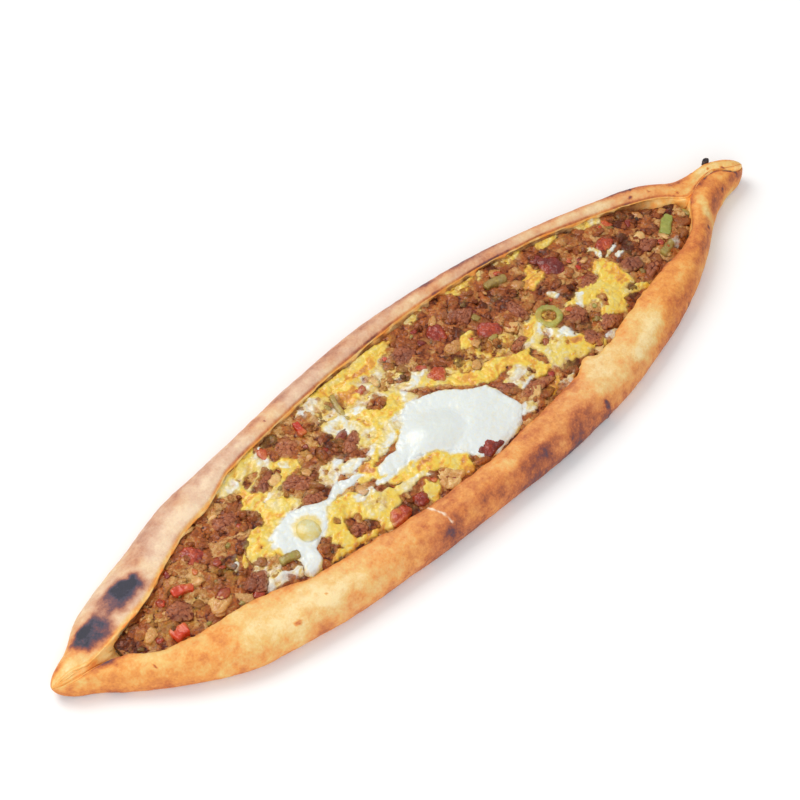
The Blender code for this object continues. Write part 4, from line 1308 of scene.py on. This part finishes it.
def make_yolk():
    """A ball as wide as its solid, flattened, and dented by slow noise."""
    middle, _, half = lie_of("egg_yolk")
    unit, sides, caps = ball(30, 60)
    points = unit * half * (1, 1, 0.95)
    points = points * (1 + 0.04 * rough(0.9, 480, *unit.T, octaves=2))[:, None]
    film = 0.9 * rise(0.5, -0.1, unit[:, 2]) + 0.3 + 0.4 * rough(0.9, 484, *unit.T)
    return points + middle - (0, 0, 0.8), (sides, caps), film


held_yolk, add, join = new_material("held yolk", {
    "Specular IOR Level": 0.5, "Coat Weight": 0.4, "Coat Roughness": 0.15,
    "Subsurface Weight": 0.2, "Subsurface Radius": (0.003, 0.002, 0.0008),
    "Subsurface Scale": 0.6,
})
film = varied(add, kept(add, "film"), 1.1, 5, 5, 2)
join(ramp(add, film, (
    (0, (208, 176, 70)), (0.35, (206, 186, 104)), (0.7, (206, 202, 158)), (1, (214, 218, 210)),
)), "Base Color")
join(varied(add, 0.32, 0.2, 3, 3), "Roughness")
bumps(add, join, (2.4, 0.3), (0.8, 0.1))
points, faces, film = make_yolk()
mesh_object(
    "yolk_held", points, faces, held_yolk, slot="egg_yolk", replaces=["egg_yolk"], film=film
)

# --- Peppers --------------------------------------------------------------------------------
# Strips of red and green pepper, skin outwards, softened and curled by the oven; one is a
# whole ring. A strip keeps its thickness along its bend and rounds off at its cut ends.
STRIPS = (
    # node, x, y, length, width, turn, bend, tone, sunk
    ("red_pepper_01", -183.5, -18, 9, 7, 0, 20, 0.7, 0),
    ("red_pepper_02", -167.5, -0.4, 12, 5, -20, 40, 0.5, 0.3),
    ("red_pepper_03", -62, 34.5, 10, 4.5, 80, 15, 0.25, 0.5),
    ("green_pepper_01", 179, 5.5, 15, 6, 35, 20, 0.85, 0.4),
    ("green_pepper_02", 84, 1, 36, 3.8, 0, 360, 0.62, 1.1),
    ("green_pepper_03", -117, -21.5, 11, 5, -15, 10, 0.4, 0.7),
    ("green_pepper_04", -38.3, 31, 20, 3, 80, 40, 0.25, 0.9),
    ("green_pepper_05", 80, 38, 14, 5, -12, 25, 0.2, 0.3),
    ("green_pepper_06", 168, -6.5, 13, 4, 15, 20, 0.3, 0.5),
)
STRIP_THICKNESS = 4.2
ROUND_END, ROUND_EDGE, ROUND_TOP = 14, 0.4, 0.35  # powers that make a strip's outlines squarer
STRIP_ROWS, STRIP_COLUMNS = 60, 28


def strip(name, node, x, y, length, width, turn, bend, tone, sunk, look, seed):
    """A rounded slab carried along an arc on the flat, wavy in height and narrowed at its ends."""
    closed = bend == 360
    radius = length / math.radians(bend)
    t = (np.arange(STRIP_ROWS) + 0.5 * closed) / (STRIP_ROWS if closed else STRIP_ROWS - 1)
    angle = math.radians(bend) * (t - 0.5)
    # A ring's unevenness is read off a circle, so that it meets itself.
    along = (radius * np.sin(angle), radius * np.cos(angle)) if closed else (length * t,)
    rounded = np.sqrt(np.clip(1 - np.abs(2 * t - 1) ** ROUND_END, 0.02, 1))
    round_end = np.ones_like(t) if closed else rounded
    side = 2 * np.pi * np.arange(STRIP_COLUMNS) / STRIP_COLUMNS
    cos_side, sin_side = np.cos(side), np.sin(side)
    profile_out = np.sign(cos_side) * np.abs(cos_side) ** ROUND_EDGE * width / 2
    profile_up = np.sign(sin_side) * np.abs(sin_side) ** ROUND_TOP * STRIP_THICKNESS / 2
    wide = 1 + 0.16 * noise(6, seed + 7, *along)
    out = radius + (round_end * wide)[:, None] * profile_out
    up = round_end[:, None] * profile_up
    up = up + 0.5 * noise(4, seed, *along)[:, None] - 0.5 * cos_side**2
    px = out * np.sin(angle)[:, None]
    py = out * np.cos(angle)[:, None] - (0 if closed else radius)
    points = np.stack([px, py, up], axis=2)
    points = points + 0.5 * rough(2.8, seed + 1, *points.transpose(2, 0, 1), octaves=3)[..., None]
    px, py, pz = points.transpose(2, 0, 1)
    px, py = turned(px, py, math.radians(turn))
    z = heap(np.array([float(x)]), np.array([float(y)])) + 0.5 - sunk
    points = np.stack([x + px, y + py, z + pz], axis=2)
    skin = tone + 0.2 * sin_side[None, :] + 0.15 * noise(3, seed + 2, *along)[:, None]
    cover, yellow = egg_film(points[..., 0], points[..., 1])
    faces = [grid_faces(STRIP_ROWS, STRIP_COLUMNS)]
    j = np.arange(STRIP_COLUMNS)
    last = (STRIP_ROWS - 1) * STRIP_COLUMNS
    if closed:
        k = (j + 1) % STRIP_COLUMNS
        faces.append(np.stack([last + j, last + k, k, j], axis=1))
    else:
        faces += [j[None, ::-1], last + j[None]]
    mesh_object(
        name, points.reshape(-1, 3), faces, look, slot=node[:-3], replaces=[node],
        kind=skin, egg=0.8 * cover, yellow=yellow,
    )


for i, (node, *lie) in enumerate(STRIPS):
    look = red_skin if node.startswith("red") else green_skin
    strip(f"{node}_strip", node, *lie, look, 500 + i)
